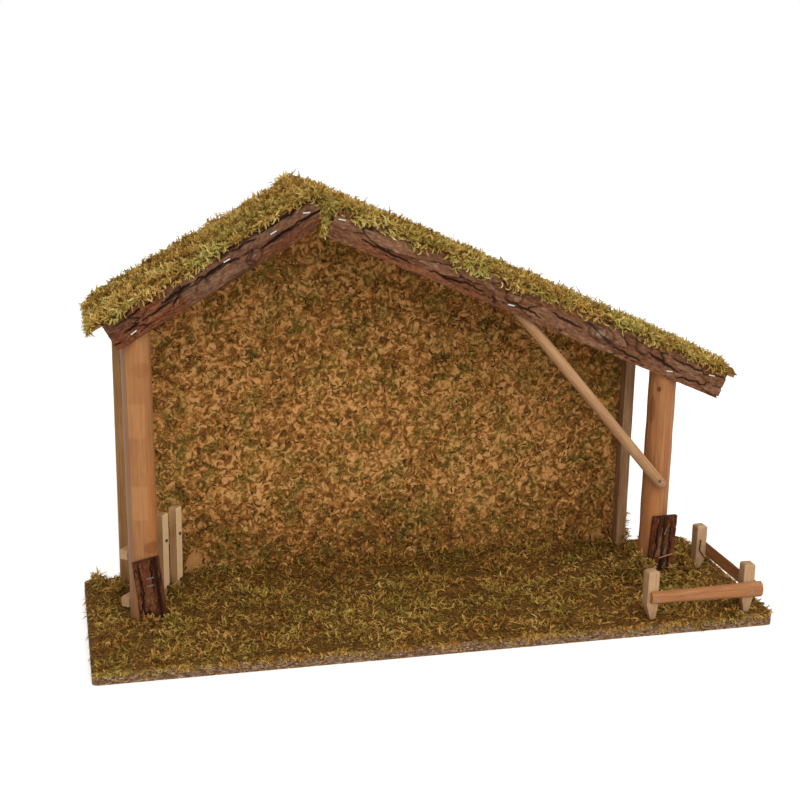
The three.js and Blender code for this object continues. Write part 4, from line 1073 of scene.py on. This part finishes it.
# %% Strips along the roof
left_top = [(-280.0, float(roof_at(-280.0))), (-103.5, RIDGE_Z)]
left_foot = [square_to_slope(-280.0, -1), (-103.5, RIDGE_Z - STRIP / math.cos(LEFT_PITCH) + 1)]
left_plates = [(81, 7.5, 15.5, 7.2, 1.2), (112, 8.2, 18.5, 6.8, 0.8), (154, 20.5, 46, 5.4, 1.0)]
left_cracks = [(50, 15.5, 76, 18.2, 1.9), (80, 16.8, 107, 17.6, 1.3), (105, 17.6, 121, 15.7, 1.0),
               (138, 25.2, 180, 24.6, 0.9), (140, 12.4, 174, 13.6, 1.3), (172, 14.2, 195, 13.2, 0.9),
               (10, 20.5, 47, 22.8, 0.7), (13, 10.8, 27, 12.6, 1.0), (114, 24.2, 136, 21.6, 0.9),
               (30, 12, 58, 13.2, 0.8), (64, 13.5, 57, 9.5, 1.0)]
bark_slab("left_bark_strip", left_foot, left_top, STRIP_THICKNESS, left_bark, ["bark_strip_left"], seed=61,
          bared=bared_left, knots=[(133, 9, 4.2)], proud=left_plates, cracks=left_cracks, tongue=torn_tongue)
right_top = [(-82.6, float(roof_at(-82.6))), (284.0, float(roof_at(284.0)))]
right_foot = [(-94.4, float(roof_at(-94.4, STRIP))), square_to_slope(284.0, 1)]
right_cracks = [(30, 9, 78, 7.5, 0.8), (96, 7, 148, 9, 0.9), (168, 10, 206, 7, 0.9), (214, 15, 246, 12, 1.0),
                (282, 8, 312, 5, 0.9), (318, 15, 352, 10, 1.1), (340, 20, 382, 18, 0.8), (352, 5, 384, 8, 0.8)]
bark_slab("right_bark_strip", right_foot, right_top, STRIP_THICKNESS, right_bark, ["bark_strip_right"], seed=74,
          bared=bared_right, knots=[(176, 15, 4.5), (262, 15, 5.0), (270, 13.5, 5.5), (310, 18, 4.5)],
          cracks=right_cracks)

# %% [markdown]
# Two short slabs stand in front of the posts' feet, each with a deep groove down its face.

# %% Slabs at the posts
short_slab = {"fine": 0.55, "plate_size": (30.0, 7.0), "ragged": 0.6}
bark_slab("left_foot_slab", [(-230.75, STAND), (-237.2, 72.3)], [(-255.25, STAND), (-261.2, 67.3)], 6.4, slab_bark,
          ["left_post_bark"], seed=83, bared=lambda s, w: 0.7 * window(s, 40, 90, 10) * window(w, 6, 20, 6),
          groove=0.2, proud=[(36, 14, 26, 5.2, 0.6)], cracks=[(8, 20.5, 44, 19, 0.6), (30, 10, 62, 8.6, 0.7)],
          **short_slab)
bark_slab("right_foot_slab", [(240.25, STAND), (243.25, 76.8)], [(214.75, STAND), (218.75, 76.3)], 6.4, slab_bark,
          ["right_post_bark"], seed=95, bared=lambda s, w: 0.6 * window(s, 50, 90, 12) * window(w, 14, 40, 4),
          groove=0.5, cracks=[(12, 5, 60, 6, 0.6), (20, 20, 70, 18.5, 0.7)], **short_slab)

# %% [markdown]
# ## Moss fronds
# Dried moss is a heap of small curled fronds: a stem of 5 to 10 mm that bends to an arc, with short leaves
# on both sides. Thousands of them make the felt. Hair particles would be another way, but a real mesh keeps
# each frond where it is put and exports as it looks. A stem is a ribbon of four quads that gets narrower
# towards its tip, and each leaf is one triangle. All fronds of a piece are made at once: every number of a
# frond, such as its root, heading, length or turn, is one row of an array. The last step keeps the tips
# inside the outer box of the CAD, apart from a few millimetres.

# %% Frond builder
rng = np.random.default_rng(12)
MOST_OUT_LOW, MOST_OUT_HIGH = np.array([-305.5, -104.5, 0.6]), np.array([305.5, 103.5, 393.0])


def unit(vectors):
    return vectors / np.linalg.norm(vectors, axis=1, keepdims=True)


def fronds(name, roots, normals, material, slot, length, width, lift, tones, kinds, heading=None, leaves=7,
           sag=0.15, turn=1.3, leaf=1.6):
    """One mesh of fronds. Roots to kinds have a row for each frond; length, width and lift are ranges."""
    total = len(roots)
    normals = unit(normals)
    heading = rng.normal(size=(total, 3)) if heading is None else heading + 0.5 * rng.normal(size=(total, 3))
    heading = unit(heading - (heading * normals).sum(1, keepdims=True) * normals)
    rise = rng.uniform(*lift, size=(total, 1))
    direction = heading * np.cos(rise) + normals * np.sin(rise)
    side = unit(np.cross(direction, normals + 0.35 * rng.normal(size=(total, 3))))
    long = rng.uniform(*length, size=(total, 1))
    wide = rng.uniform(*width, size=(total, 1)) / 2
    turned = rng.normal(0, turn, size=(total, 1))
    turned = np.where(np.abs(turned) < 0.05, 0.05, turned)
    droop = normals * np.abs(rng.normal(0, sag, size=(total, 1)))

    def at(t):
        """The stem's middle at a share t of its length, the way it heads there, and the way across."""
        middle = roots + long * (np.sin(turned * t) * direction + (1 - np.cos(turned * t)) * side) / turned
        ahead = np.cos(turned * t) * direction + np.sin(turned * t) * side
        across = np.cos(turned * t) * side - np.sin(turned * t) * direction
        return middle - droop * long * t * t, ahead, across

    points = []
    for t, narrow in ((0.0, 0.9), (0.25, 1.0), (0.5, 0.9), (0.75, 0.7), (1.0, 0.2)):
        middle, ahead, across = at(t)
        points += [middle - across * wide * narrow, middle + across * wide * narrow]
    for k in range(leaves):
        t = (k + 0.7) / leaves
        middle, ahead, across = at(t)
        hand = -1 if k % 2 else 1
        tip = ahead * 0.6 + across * hand * rng.uniform(0.5, 1.0, size=(total, 1))
        tip += normals * rng.uniform(-0.3, 0.6, size=(total, 1))
        reach = leaf * rng.uniform(0.7, 1.2, size=(total, 1)) * (1.05 - 0.35 * t)
        points += [middle - ahead * wide, middle + ahead * wide, middle + tip * reach]
    points = np.clip(np.stack(points, 1), MOST_OUT_LOW, MOST_OUT_HIGH)
    per = points.shape[1]
    first = np.arange(total)[:, None] * per
    quads = np.array([[0, 1, 3, 2], [2, 3, 5, 4], [4, 5, 7, 6], [6, 7, 9, 8]])
    stems = (first[:, :, None] + quads[None]).reshape(-1, 4)
    tips = (first[:, :, None] + (10 + np.arange(leaves * 3).reshape(leaves, 3))[None]).reshape(-1, 3)
    on_stem = np.repeat([-0.26, -0.12, 0.0, 0.08, 0.14], 2)
    on_leaves = np.concatenate([np.array([-0.2, -0.2, -0.05]) + 0.3 * (k + 0.7) / leaves for k in range(leaves)])
    shade = np.concatenate([on_stem, on_leaves])
    tone = np.clip(tones[:, None] + shade[None] + rng.normal(0, 0.05, size=(total, per)), 0, 1)
    kind = np.clip(np.repeat(kinds[:, None], per, 1), 0, 1)
    return make_piece(name, points.reshape(-1, 3), stems.tolist() + tips.tolist(), material, slot,
                      smooth=False, tone=tone.ravel(), kind=kind.ravel())


# %% [markdown]
# Moss doesn't grow evenly. Some fronds are scattered alone, and the others stand in tufts, fanning out from
# a shared middle. Age and colour drift over patches of about 30 mm, with a random part for each frond.

# %% Scatter and tufts
def scatter(total, x_range, y_range):
    return rng.uniform(*x_range, size=total), rng.uniform(*y_range, size=total)


def tufts(total, per, radius, x_range, y_range):
    """Roots around shared middles, and for each root the way out from its middle."""
    centre_x, centre_y = scatter(total // per, x_range, y_range)
    x = np.repeat(centre_x, per) + rng.normal(0, radius, (total // per) * per)
    y = np.repeat(centre_y, per) + rng.normal(0, radius, (total // per) * per)
    away = np.stack([x - np.repeat(centre_x, per), y - np.repeat(centre_y, per), 0 * x], -1)
    inside = (x > x_range[0]) & (x < x_range[1]) & (y > y_range[0]) & (y < y_range[1])
    return x[inside], y[inside], away[inside]


def ages(x, y, low, high, seed):
    """Tones that drift over the moss."""
    return low + (high - low) * rough_lumps(x / 26, y / 26, seed) + rng.normal(0, 0.15, len(x))


def greens(x, y, share, seed):
    """Kinds, from brown at 0 to green at 1, with a given share of green."""
    drift = rough_lumps(x / 28, y / 28, seed) - 0.5
    return np.clip(share + 1.6 * drift + rng.normal(0, 0.3, len(x)), 0, 1)


# %% [markdown]
# ## Ground moss
# The ground is a packed mat, a few millimetres thick and heaped around the right post, with fronds all
# over it. One spot near the front edge is nearly bare.

# %% Height of the ground
HALF_LENGTH, HALF_DEPTH = 300, 100
BARE_SPOT, PEG_FEET = (-101, -92), ((185, -92), (277, -92), (277, 4))
HEAP_PLACE, HEAP_TOP, HEAP_REACH = (246, 25), 7.0, 60


def close_to(x, y, place, reach_x, reach_y):
    """1 at a place, falling to 0 around it."""
    return np.exp(-(((x - place[0]) / reach_x) ** 2 + ((y - place[1]) / reach_y) ** 2))


def ground_height(x, y):
    heap = HEAP_TOP * np.exp(-2 * (np.hypot(x - HEAP_PLACE[0], y - HEAP_PLACE[1]) / HEAP_REACH) ** 2)
    edge = np.clip((y + HALF_DEPTH) / 9, 0.25, 1) * np.clip((HALF_LENGTH - np.abs(x)) / 7, 0.3, 1)
    hollow = 1 - 0.9 * close_to(x, y, BARE_SPOT, 16, 9)
    for foot in PEG_FEET:
        hollow = hollow * (1 - 0.85 * close_to(x, y, foot, 9, 9))
    return board_high[2] + 0.4 + (0.5 + 3.6 * rough_lumps(x / 14 + 9, y / 12 + 4, 5)) * edge * hollow + heap


# %% [markdown]
# The mat itself is a closed slab: a grid of points at the height of the moss, and a flat bed under it. The
# roof's mats are made by the same function.

# %% Ground mat

def height_mat(name, x_range, y_range, height, bed, material, slot, replaced, cell=2.2):
    """A closed mat: a lumpy top over a flat bed."""
    columns = int((x_range[1] - x_range[0]) / cell)
    rows = int((y_range[1] - y_range[0]) / cell)
    x = np.linspace(*x_range, columns + 1)[:, None] + np.zeros((1, rows + 1))
    y = np.linspace(*y_range, rows + 1)[None, :] + np.zeros((columns + 1, 1))
    top = np.stack([x, y, height(x, y)], -1)
    under = top[:, [rows, 0]].copy()
    under[..., 2] = bed(under[..., 0])
    points = np.concatenate([top, under], 1)
    return make_piece(name, points.reshape(-1, 3), ring_faces(columns + 1, rows + 3), material, slot, replaced)


height_mat("ground_mat", (-299, 299), (-99, 95), ground_height, lambda x: board_high[2] + 0.2 + 0 * x, ground_felt,
           "moss", ["ground_moss"])

# %% [markdown]
# Fronds are left out where posts, slabs and pegs stand, and where the board is bare. They also end a little
# short of the left edge, which is trimmed clean. What stands on the board is written as a place and a radius.

# %% Where fronds may stand
STANDING = [((-250, 6.8), 13.3), ((-243, -13), 9), ((-250, -13), 7), ((226, 6.75), 13), ((227.5, -13), 10),
            ((219, -13), 6), ((236, -13), 6), ((185, -90), 6.5), ((277, -90), 6.5), ((277, 7), 7),
            ((-230.9, 44.1), 4.5), ((-217.5, 60.5), 4.5)]


def free_ground(x, y):
    keep = np.ones(len(x), bool)
    for centre, radius in STANDING:
        keep &= np.hypot(x - centre[0], y - centre[1]) > radius
    return keep & (rng.uniform(size=len(x)) > close_to(x, y, BARE_SPOT, 13, 7) * 1.3)


print("fronds keep away from", len(STANDING), "places")


# %% [markdown]
# The ground gets three kinds: single fronds, denser tufts, and a few long dry stems with hardly any leaves.
# At the back, under the roof, the moss is painted a little darker as painted shade.

# %% Ground fronds
def ground_piece(name, x, y, heading, length, width, lift, **more):
    keep = free_ground(x, y)
    x, y = x[keep], y[keep]
    heading = None if heading is None else heading[keep]
    roots = np.stack([x, y, ground_height(x, y) - 0.7], -1)
    up_normals = np.tile([0.0, 0.0, 1.0], (len(x), 1))
    # Fronds at the back, under the roof, get a darker tone as painted shade.
    return fronds(name, roots, up_normals, ground_moss, "moss", length, width, lift,
                  ages(x, y, 0.34, 0.78, 15) - 0.13 * (y > 45), greens(x, y, 0.46, 18), heading, **more)


GROUND_X, GROUND_Y = (-294.5, 298), (-99, 94)
ground_piece("ground_fronds", *scatter(11500, GROUND_X, GROUND_Y), None, length=(4.5, 9.5), width=(0.9, 1.5),
             lift=(0.0, 0.5))
ground_piece("ground_tufts", *tufts(9500, 11, 3.4, GROUND_X, GROUND_Y), length=(4.0, 8.5), width=(0.8, 1.4),
             lift=(0.2, 1.0))
ground_piece("ground_dry_stems", *scatter(650, (-288, 296), (-98, 90)), None, length=(9, 17), width=(0.6, 0.85),
             lift=(0.05, 0.4), leaves=2, turn=0.8, sag=0.25)

# %% [markdown]
# Loose moss is heaped against whatever stands on the board. Each heap is a ring of fronds whose roots lie at
# any height up to the top of the heap, which is lower farther out. A high one stands beside the foot of
# the right post and its slab, and a narrow one climbs the edge of the right batten. A heap is its place, its
# reach, its height and its number of fronds. The last list keeps posts and pegs clear, as place and radius.

# %% Heaps
HEAPS = [((208, -8), 13, 27, 420), ((215, -20), 6, 26, 200), ((224, -19), 8, 8, 90), ((238, -16), 8, 15, 130),
         ((196, 6), 13, 14, 200), ((256, 2), 18, 14, 380), ((284, 30), 13, 14, 320), ((240, 48), 24, 12, 420),
         ((-246, -21), 13, 8, 190), ((-228, -14), 9, 7, 110), ((-224, 50), 13, 7, 150), ((-270, 60), 16, 8, 200),
         ((-288, 84), 12, 11, 150), ((232, 90), 4, 34, 210), ((286, -70), 10, 6, 130), ((262, -96), 12, 3, 90)]
HEAPS += [((wall_x, 92), 12, 7, 60) for wall_x in range(-190, 215, 18)]
CLEAR = [((-250, 6.8), 13), ((226, 6.75), 12.8), ((185, -90), 6), ((277, -90), 6), ((277, 10), 6)]
x, y, z = [], [], []
for (heap_x, heap_y), reach, top, total in HEAPS:
    away = np.minimum(np.abs(rng.normal(0, 0.55, total)), 1.3)
    angle = rng.uniform(0, 2 * np.pi, total)
    x.append(heap_x + reach * away * np.cos(angle))
    y.append(heap_y + reach * away * np.sin(angle))
    z.append(top * rng.uniform(0, 1, total) * np.clip(1.15 - away, 0.1, 1))
x, y, z = np.concatenate(x), np.concatenate(y), np.concatenate(z)
keep = (x > -295) & (x < 299) & (y < 96)
for place, radius in CLEAR:
    keep &= np.hypot(x - place[0], y - place[1]) > radius
x, y, z = x[keep], y[keep], z[keep]
roots = np.stack([x, y, ground_height(x, y) - 1 + z], -1)
# Fronds higher in a heap are painted lighter, as painted light on the top of the heap.
fronds("heaped_moss", roots, np.tile([0.0, 0.0, 1.0], (len(x), 1)), ground_moss, "moss", (4.5, 9.0), (0.8, 1.4),
       (0.0, 1.0), ages(x, y, 0.3, 0.74, 15) + 0.008 * z, greens(x, y, 0.42, 18))

# %% [markdown]
# Along the board's front edge some fronds hang over the rim. Their roots sit on the rim, they lean outwards
# and sag. In a few places they reach far down. The other edges have only a few.

# %% Fronds over a rim
def rim_piece(name, x, y, z, out, lean, length, material, share):
    """Fronds that stand out one way, lean another, and have a given share of green."""
    roots = np.stack([x, y, z], -1)
    total = len(x)
    normals = np.tile(out, (total, 1))
    heading = np.tile(lean, (total, 1)) + 0.4 * rng.normal(size=(total, 3))
    return fronds(name, roots, normals, material, "moss", length, (0.8, 1.4), (0.0, 0.6),
                  ages(x + y, z, 0.3, 0.78, 33), greens(x + y, z, share, 36), heading, sag=0.3)


# %% [markdown]
# Along the front edge the fronds are denser in some places than in others, and at seven places a small bunch
# hangs far down. On the left and the right only single fronds reach over.

# %% Moss over the board's edges
FAR_DOWN, FAR_DOWN_FRONDS = [-254, -156, -66, 5, 71, 194, 229], 9
x = rng.uniform(-297, 297, 1500)
x = x[rng.uniform(size=len(x)) < 0.1 + 1.1 * rough_lumps(x / 14, 0 * x, 58)]
drooping = np.repeat(FAR_DOWN, FAR_DOWN_FRONDS) + rng.normal(0, 2.2, len(FAR_DOWN) * FAR_DOWN_FRONDS)
z = np.concatenate([rng.uniform(9.4, 11.8, len(x)), rng.uniform(3.5, 9.5, len(drooping))])
x = np.concatenate([x, drooping])
rim_piece("front_rim_fronds", x, np.full(len(x), -99.0), z, out=(0.0, -0.8, 0.6), lean=(0.0, -0.4, -0.9),
          length=(3.0, 6.0), material=ground_moss, share=0.42)
for name, side, total in (("left_rim_fronds", -1, 26), ("right_rim_fronds", 1, 220)):
    y = rng.uniform(-97, 94, total)
    rim_piece(name, np.full(total, side * 298.5), y, np.full(total, 11.2), out=(side * 0.7, 0.0, 0.7),
              lean=(side, 0, -0.4), length=(3.0, 6.5), material=ground_moss, share=0.5)

# %% [markdown]
# ## Roof moss
# The roof has the thicker and brighter moss. The mat follows the slopes, and tufts stand up to 8 mm over
# it, so the roof's outline looks soft against the background. Each slope is a piece of its own. The number
# of fronds follows from the slope's area, so both slopes are covered alike.

# %% Height of the roof moss
LEFT_EAVE_X, RIGHT_EAVE_X = -287.0, 291.0
roof_front = BARK_BACK - 5.0
roof_back = corners("roof_moss_left")[1][1]


def roof_height(x, y):
    thick = 0.8 + 7.6 * rough_lumps(x / 11 + 3, y / 10, 47)
    edge = np.clip((y - roof_front) / 8, 0.35, 1)
    return roof_at(x) + GAP + thick * edge


print("roof moss is", round(float(roof_back - roof_front)), "mm deep")

# %% [markdown]
# Single fronds cover each slope evenly, and tufts stand among them. At the front corner on the right the
# moss has rubbed off, so no frond stands there.

# %% Roof mats and fronds
SINGLE_PER_MM2, TUFTED_PER_MM2 = 0.14, 0.17
RUBBED_X, RUBBED_DEPTH = 281, 10
slopes = (("left", (LEFT_EAVE_X, RIDGE_X - 0.2), LEFT_PITCH, -1),
          ("right", (RIDGE_X + 0.2, RIGHT_EAVE_X), RIGHT_PITCH, 1))
for side, x_range, pitch, sign in slopes:
    height_mat(f"roof_mat_{side}", x_range, (roof_front, roof_back), roof_height, lambda x: roof_at(x) + GAP,
               roof_felt, "moss", [f"roof_moss_{side}"])
    area = (x_range[1] - x_range[0]) / math.cos(pitch) * (roof_back - roof_front)
    for kind, places, reach, lift in (
        ("fronds", (*scatter(int(area * SINGLE_PER_MM2), x_range, (roof_front, roof_back)), None), (4.5, 10.0),
         (0.05, 0.7)),
        ("tufts", tufts(int(area * TUFTED_PER_MM2), 13, 3.2, x_range, (roof_front, roof_back)), (4.5, 9.5),
         (0.4, 1.4)),
    ):
        x, y, heading = places
        keep = (x < RUBBED_X) | (y > roof_front + RUBBED_DEPTH)
        x, y, heading = x[keep], y[keep], None if heading is None else heading[keep]
        roots = np.stack([x, y, roof_height(x, y) - 1.0], -1)
        normal = np.tile([sign * math.sin(pitch), 0.0, math.cos(pitch)], (len(x), 1))
        fronds(f"roof_{kind}_{side}", roots, normal, roof_moss, "moss", reach, (0.9, 1.5), lift,
               ages(x, y, 0.42, 0.7, 77) + 0.75 * (rough_lumps(x / 8, y / 8, 81) - 0.5), greens(x, y, 0.3, 79),
               heading, leaf=1.7, turn=1.5)

# %% [markdown]
# At the front the moss ends where the bark begins, so both strips stay in sight. Only here and there do
# some strands hang down over the upper edge of the bark, mostly on the right slope, and a tuft is stuffed
# into the joint of the two strips.

# %% Moss over the roof's front edge
x = rng.uniform(-284, 278, 1150)
z = roof_at(x) + rng.uniform(1.5, 6.0, len(x))
rim_piece("roof_front_fronds", x, np.full(len(x), roof_front + 0.6), z, out=(0.0, -0.6, 0.8),
          lean=(0.0, -0.3, 0.0), length=(4.0, 7.5), material=roof_moss, share=0.45)
x = np.concatenate([rng.uniform(-86, 152, 420), rng.uniform(152, 278, 110), rng.uniform(-284, -190, 70)])
x = x[rng.uniform(size=len(x)) < 2.4 * (rough_lumps(x / 9, 0 * x, 68) - 0.22)]
reach_down = np.where((x > -90) & (x < 150), 3.4, 1.6) * (0.3 + 1.4 * rough_lumps(x / 14, 0 * x, 67))
z = roof_at(x) + 0.5 - np.abs(rng.normal(0, 1, len(x))) * reach_down
joint_drop = np.concatenate([rng.uniform(-3, 6, 80), rng.uniform(6, 19, 60), rng.uniform(22, 29, 26)])
joint_x = -91.5 - 0.22 * joint_drop + np.where(joint_drop < 6, 4.5, 1.3) * rng.normal(size=len(joint_drop))
x, z = np.concatenate([x, joint_x]), np.concatenate([z, roof_at(joint_x) - joint_drop])
rim_piece("strands_on_the_bark", x, np.full(len(x), BARK_BACK - 6.0), z, out=(0.0, -1.0, 0.25),
          lean=(0.4, 0.0, -0.6), length=(3.5, 7.0), material=roof_moss, share=0.4)

# %% [markdown]
# At both eaves longer fronds hang over the ends of the roof boards, farther down on the left than on the
# right. The rubbed corner stays free. A few dry stems stand nearly upright on the roof.

# %% Moss over the eaves, and standing stems
left_x, right_x = LEFT_EAVE_X + 0.5, RIGHT_EAVE_X - 0.5
y = rng.uniform(roof_front, roof_back, 620)
rim_piece("left_eave_fronds", np.full(len(y), left_x), y, roof_at(left_x) + rng.uniform(-1.5, 4, len(y)),
          out=(-0.8, 0.0, 0.6), lean=(-0.8, 0.0, -0.9), length=(5.0, 11.0), material=roof_moss, share=0.55)
y = rng.uniform(roof_front + 13, roof_back, 460)
rim_piece("right_eave_fronds", np.full(len(y), right_x), y, roof_at(right_x) + rng.uniform(0, 4, len(y)),
          out=(0.8, 0.0, 0.6), lean=(0.8, 0.0, -0.6), length=(3.5, 7.5), material=roof_moss, share=0.45)
x, y = scatter(150, (-280, 285), (roof_front, roof_back))
roots = np.stack([x, y, roof_height(x, y) + 1], -1)
fronds("roof_standing_stems", roots, np.tile([0.0, 0.0, 1.0], (len(x), 1)), roof_moss, "moss", (7.0, 12.0),
       (0.8, 1.1), (0.7, 1.4), rng.uniform(0.15, 0.6, len(x)), rng.uniform(0, 0.5, len(x)), leaves=5, sag=0.05,
       leaf=2.0)

# %% [markdown]
# ## Wall crumbs
# The coat's plate keeps the outline of the CAD skin, with a ragged foot where bare board shows. On it lie
# thousands of short, broad and strongly curled crumbs, and a few long dark stems. They are denser at the
# top and at the foot.

# %% Wall coat plate
coat_low, coat_high = corners("wall_moss_flakes")
STEPS = 120
BARE_FEET = ((-194, 12, 26), (207, 9, 15))
coat_x = np.linspace(coat_low[0], coat_high[0], STEPS + 1)
coat_foot = 10.6 + 2 * rough_lumps(coat_x / 19, 0 * coat_x + 0.5, 21)
for bare_x, half_width, height in BARE_FEET:
    bare = height * np.exp(-(((coat_x - bare_x) / half_width) ** 4))
    coat_foot = coat_foot + bare * (0.8 + 0.4 * lumps(coat_x / 4, 0 * coat_x, 22))
lid = under_rafters(coat_x)
outline_rings = [[(x, coat_low[1], foot), (x, coat_low[1], top), (x, coat_high[1], top), (x, coat_high[1], foot)]
                 for x, foot, top in zip(coat_x, coat_foot, lid)]
faces = [tuple(reversed(face)) for face in ring_faces(STEPS + 1, 4)]
make_piece("wall_coat_plate", np.array(outline_rings).reshape(-1, 3), faces, wall_coat, "wall_flakes",
           ["wall_moss_flakes"], smooth=False)

# %% [markdown]
# A crumb is kept or dropped by chance. The chance follows noise with patches of 11 and 40 mm, the height on
# the wall, and the ragged foot. So the crumbs lie in clusters, as strewn moss does.

# %% Wall crumbs
LOW_DOWN_FROM, LOW_DOWN_OVER = 75, 45


def wall_piece(name, total, **more):
    x, z = scatter(total, (coat_low[0] + 2, coat_high[0] - 2), (11, 362))
    low_down = np.clip((LOW_DOWN_FROM - z) / LOW_DOWN_OVER, 0, 1)
    dense = 0.5 + 2.6 * (rough_lumps(x / 11, z / 11, 91) - 0.5) + 0.6 * (rough_lumps(x / 40, z / 40, 92) - 0.5)
    dense = dense + 0.15 * np.clip((z - 200) / 100, 0, 1) + 0.4 * low_down
    keep = (z < roof_at(x, POST_DROP + 2)) & (rng.uniform(size=len(x)) < dense)
    keep &= rng.uniform(size=len(x)) < np.clip(1 + (z - np.interp(x, coat_x, coat_foot)) / 16, 0, 1)
    x, z, low_down = x[keep], z[keep], low_down[keep]
    roots = np.stack([x, np.full(len(x), coat_low[1] - 0.05), z], -1)
    normals = np.tile([0.0, -1.0, 0.0], (len(x), 1))
    tones = 0.5 + 0.8 * (rough_lumps(x / 12, z / 12, 64) - 0.5) + rng.normal(0, 0.2, len(x))
    # Crumbs low on the wall are darker.
    tones -= 0.1 * low_down
    kinds = 0.36 + 2.0 * (rough_lumps(x / 13, z / 13, 66) - 0.5) + rng.normal(0, 0.25, len(x))
    return fronds(name, roots, normals, wall_crumbs, "wall_flakes", tones=tones, kinds=kinds, **more)


wall_piece("wall_crumbs", 19000, length=(3.0, 6.5), width=(1.0, 1.9), lift=(0.0, 0.2), turn=1.9, sag=0.0,
           leaf=1.5, leaves=4)
wall_piece("wall_long_stems", 200, length=(8, 15), width=(0.6, 0.9), lift=(0.0, 0.1), turn=0.9, sag=0.0,
           leaf=1.0, leaves=2)

# %% [markdown]
# ## Twigs
# A thin dark twig with a bend leans against the rear peg, and a paler one lies across the right slab. Two
# short ones stand up from the roof. They are sticks again, only very thin ones.

# %% Twigs
dark_twig = softwood("dark dry twig", "#2c1a10", "#44291a", "#5d3c26", "#6d4a30", 0.8)
twig_lines = [
    ("peg_twig_upper", (276.0, 4.9, 44.3), (275.2, 4.8, 33.2), 0.55, dark_twig),
    ("peg_twig_lower", (275.2, 4.8, 33.4), (283.4, 4.2, 22.3), 0.5, dark_twig),
    ("slab_twig", (224.5, -14.0, 36.5), (238.5, -14.2, 40.0), 0.6, peeled_hazel),
    ("roof_twig_left", (-26, 20, roof_at(-26) + 3), (-22, 20, roof_at(-26) + 12), 0.5, dark_twig),
    ("roof_twig_right", (3, 14, roof_at(3) + 3), (5, 13, roof_at(3) + 14), 0.55, dark_twig),
]
for k, (name, start, end, radius, wood) in enumerate(twig_lines):
    stick(name, start, end, wood, "bark", [], circle(10), half_u=radius, half_v=radius, wobble=0.12, rings=14,
          across=(0, 1, 0), seed=70 + k)

# %% [markdown]
# ## Floor and light
# A pale floor takes the stable's soft shadow. The background is white for the rays that come from the camera,
# off a shiny surface or through a clear one, and for no others, so it adds no light. Two wide lamps and an
# even sky light the stable at a plain level, where a colour renders about as it is written.

# %% Floor
def in_sight(tree):
    """1 for a ray that shows the background in the picture, and 0 for one that only brings light."""
    rays = add_node(tree, "LightPath").outputs
    seen = rays["Is Camera Ray"]
    for other in ("Is Glossy Ray", "Is Transmission Ray"):
        seen = add_node(tree, "Math", {0: seen, 1: rays[other]}, operation="MAXIMUM").outputs[0]
    return seen


HALF_FLOOR = 6
floor_mesh = bpy.data.meshes.new("floor")
floor_mesh.from_pydata([(a * HALF_FLOOR, b * HALF_FLOOR, 0) for a, b in ((-1, -1), (1, -1), (1, 1), (-1, 1))], [],
                       [(0, 1, 2, 3)])
floor = bpy.data.objects.new("floor", floor_mesh)
bpy.context.scene.collection.objects.link(floor)
white_card, tree, shader = new_material("white backdrop card", 0.9)
shader.inputs["Base Color"].default_value = linear("#f4f3f1")
seen = in_sight(tree)
glow = add_node(tree, "Emission", {"Color": (1, 1, 1, 1), "Strength": 0.35}).outputs[0]
lit = add_node(tree, "AddShader", {0: shader.outputs[0], 1: glow}).outputs[0]
card = add_node(tree, "MixShader", {0: seen, 1: shader.outputs[0], 2: lit}).outputs[0]
tree.links.new(card, tree.nodes["Material Output"].inputs["Surface"])
floor_mesh.materials.append(white_card)
print("floor", 2 * HALF_FLOOR, "m wide")

# %% [markdown]
# The sky gives the same light from all sides, and the lamps give it a direction. Both lamps are suns, because
# a sun is as strong at the ground as at the roof.

# %% World and lamps
world = bpy.data.worlds.new("studio")
bpy.context.scene.world = world
world.use_nodes = True
tree = world.node_tree
tree.nodes.clear()
seen = in_sight(tree)
sky = add_node(tree, "Background", {"Color": (1, 1, 1, 1), "Strength": 0.62}).outputs[0]
white = add_node(tree, "Background", {"Color": (1, 1, 1, 1), "Strength": 1.0}).outputs[0]
shown = add_node(tree, "MixShader", {0: seen, 1: sky, 2: white}).outputs[0]
add_node(tree, "OutputWorld", {"Surface": shown})


def soft_sun(name, towards, strength, spread):
    """A sun with a wide disc, so that its shadows are as soft as a studio lamp's."""
    data = bpy.data.lights.new(name, "SUN")
    data.energy = strength
    data.angle = math.radians(spread)
    lamp = bpy.data.objects.new(name, data)
    lamp.rotation_euler = Vector(towards).to_track_quat("-Z", "Y").to_euler()
    bpy.context.scene.collection.objects.link(lamp)
    print(name, "with a disc of", spread, "degrees")


soft_sun("key_lamp", (0.1, 0.85, -0.74), strength=1.5, spread=50)
soft_sun("fill_lamp", (-0.75, 0.55, -0.45), strength=0.5, spread=70)
bpy.context.scene.view_settings.view_transform = "Standard"
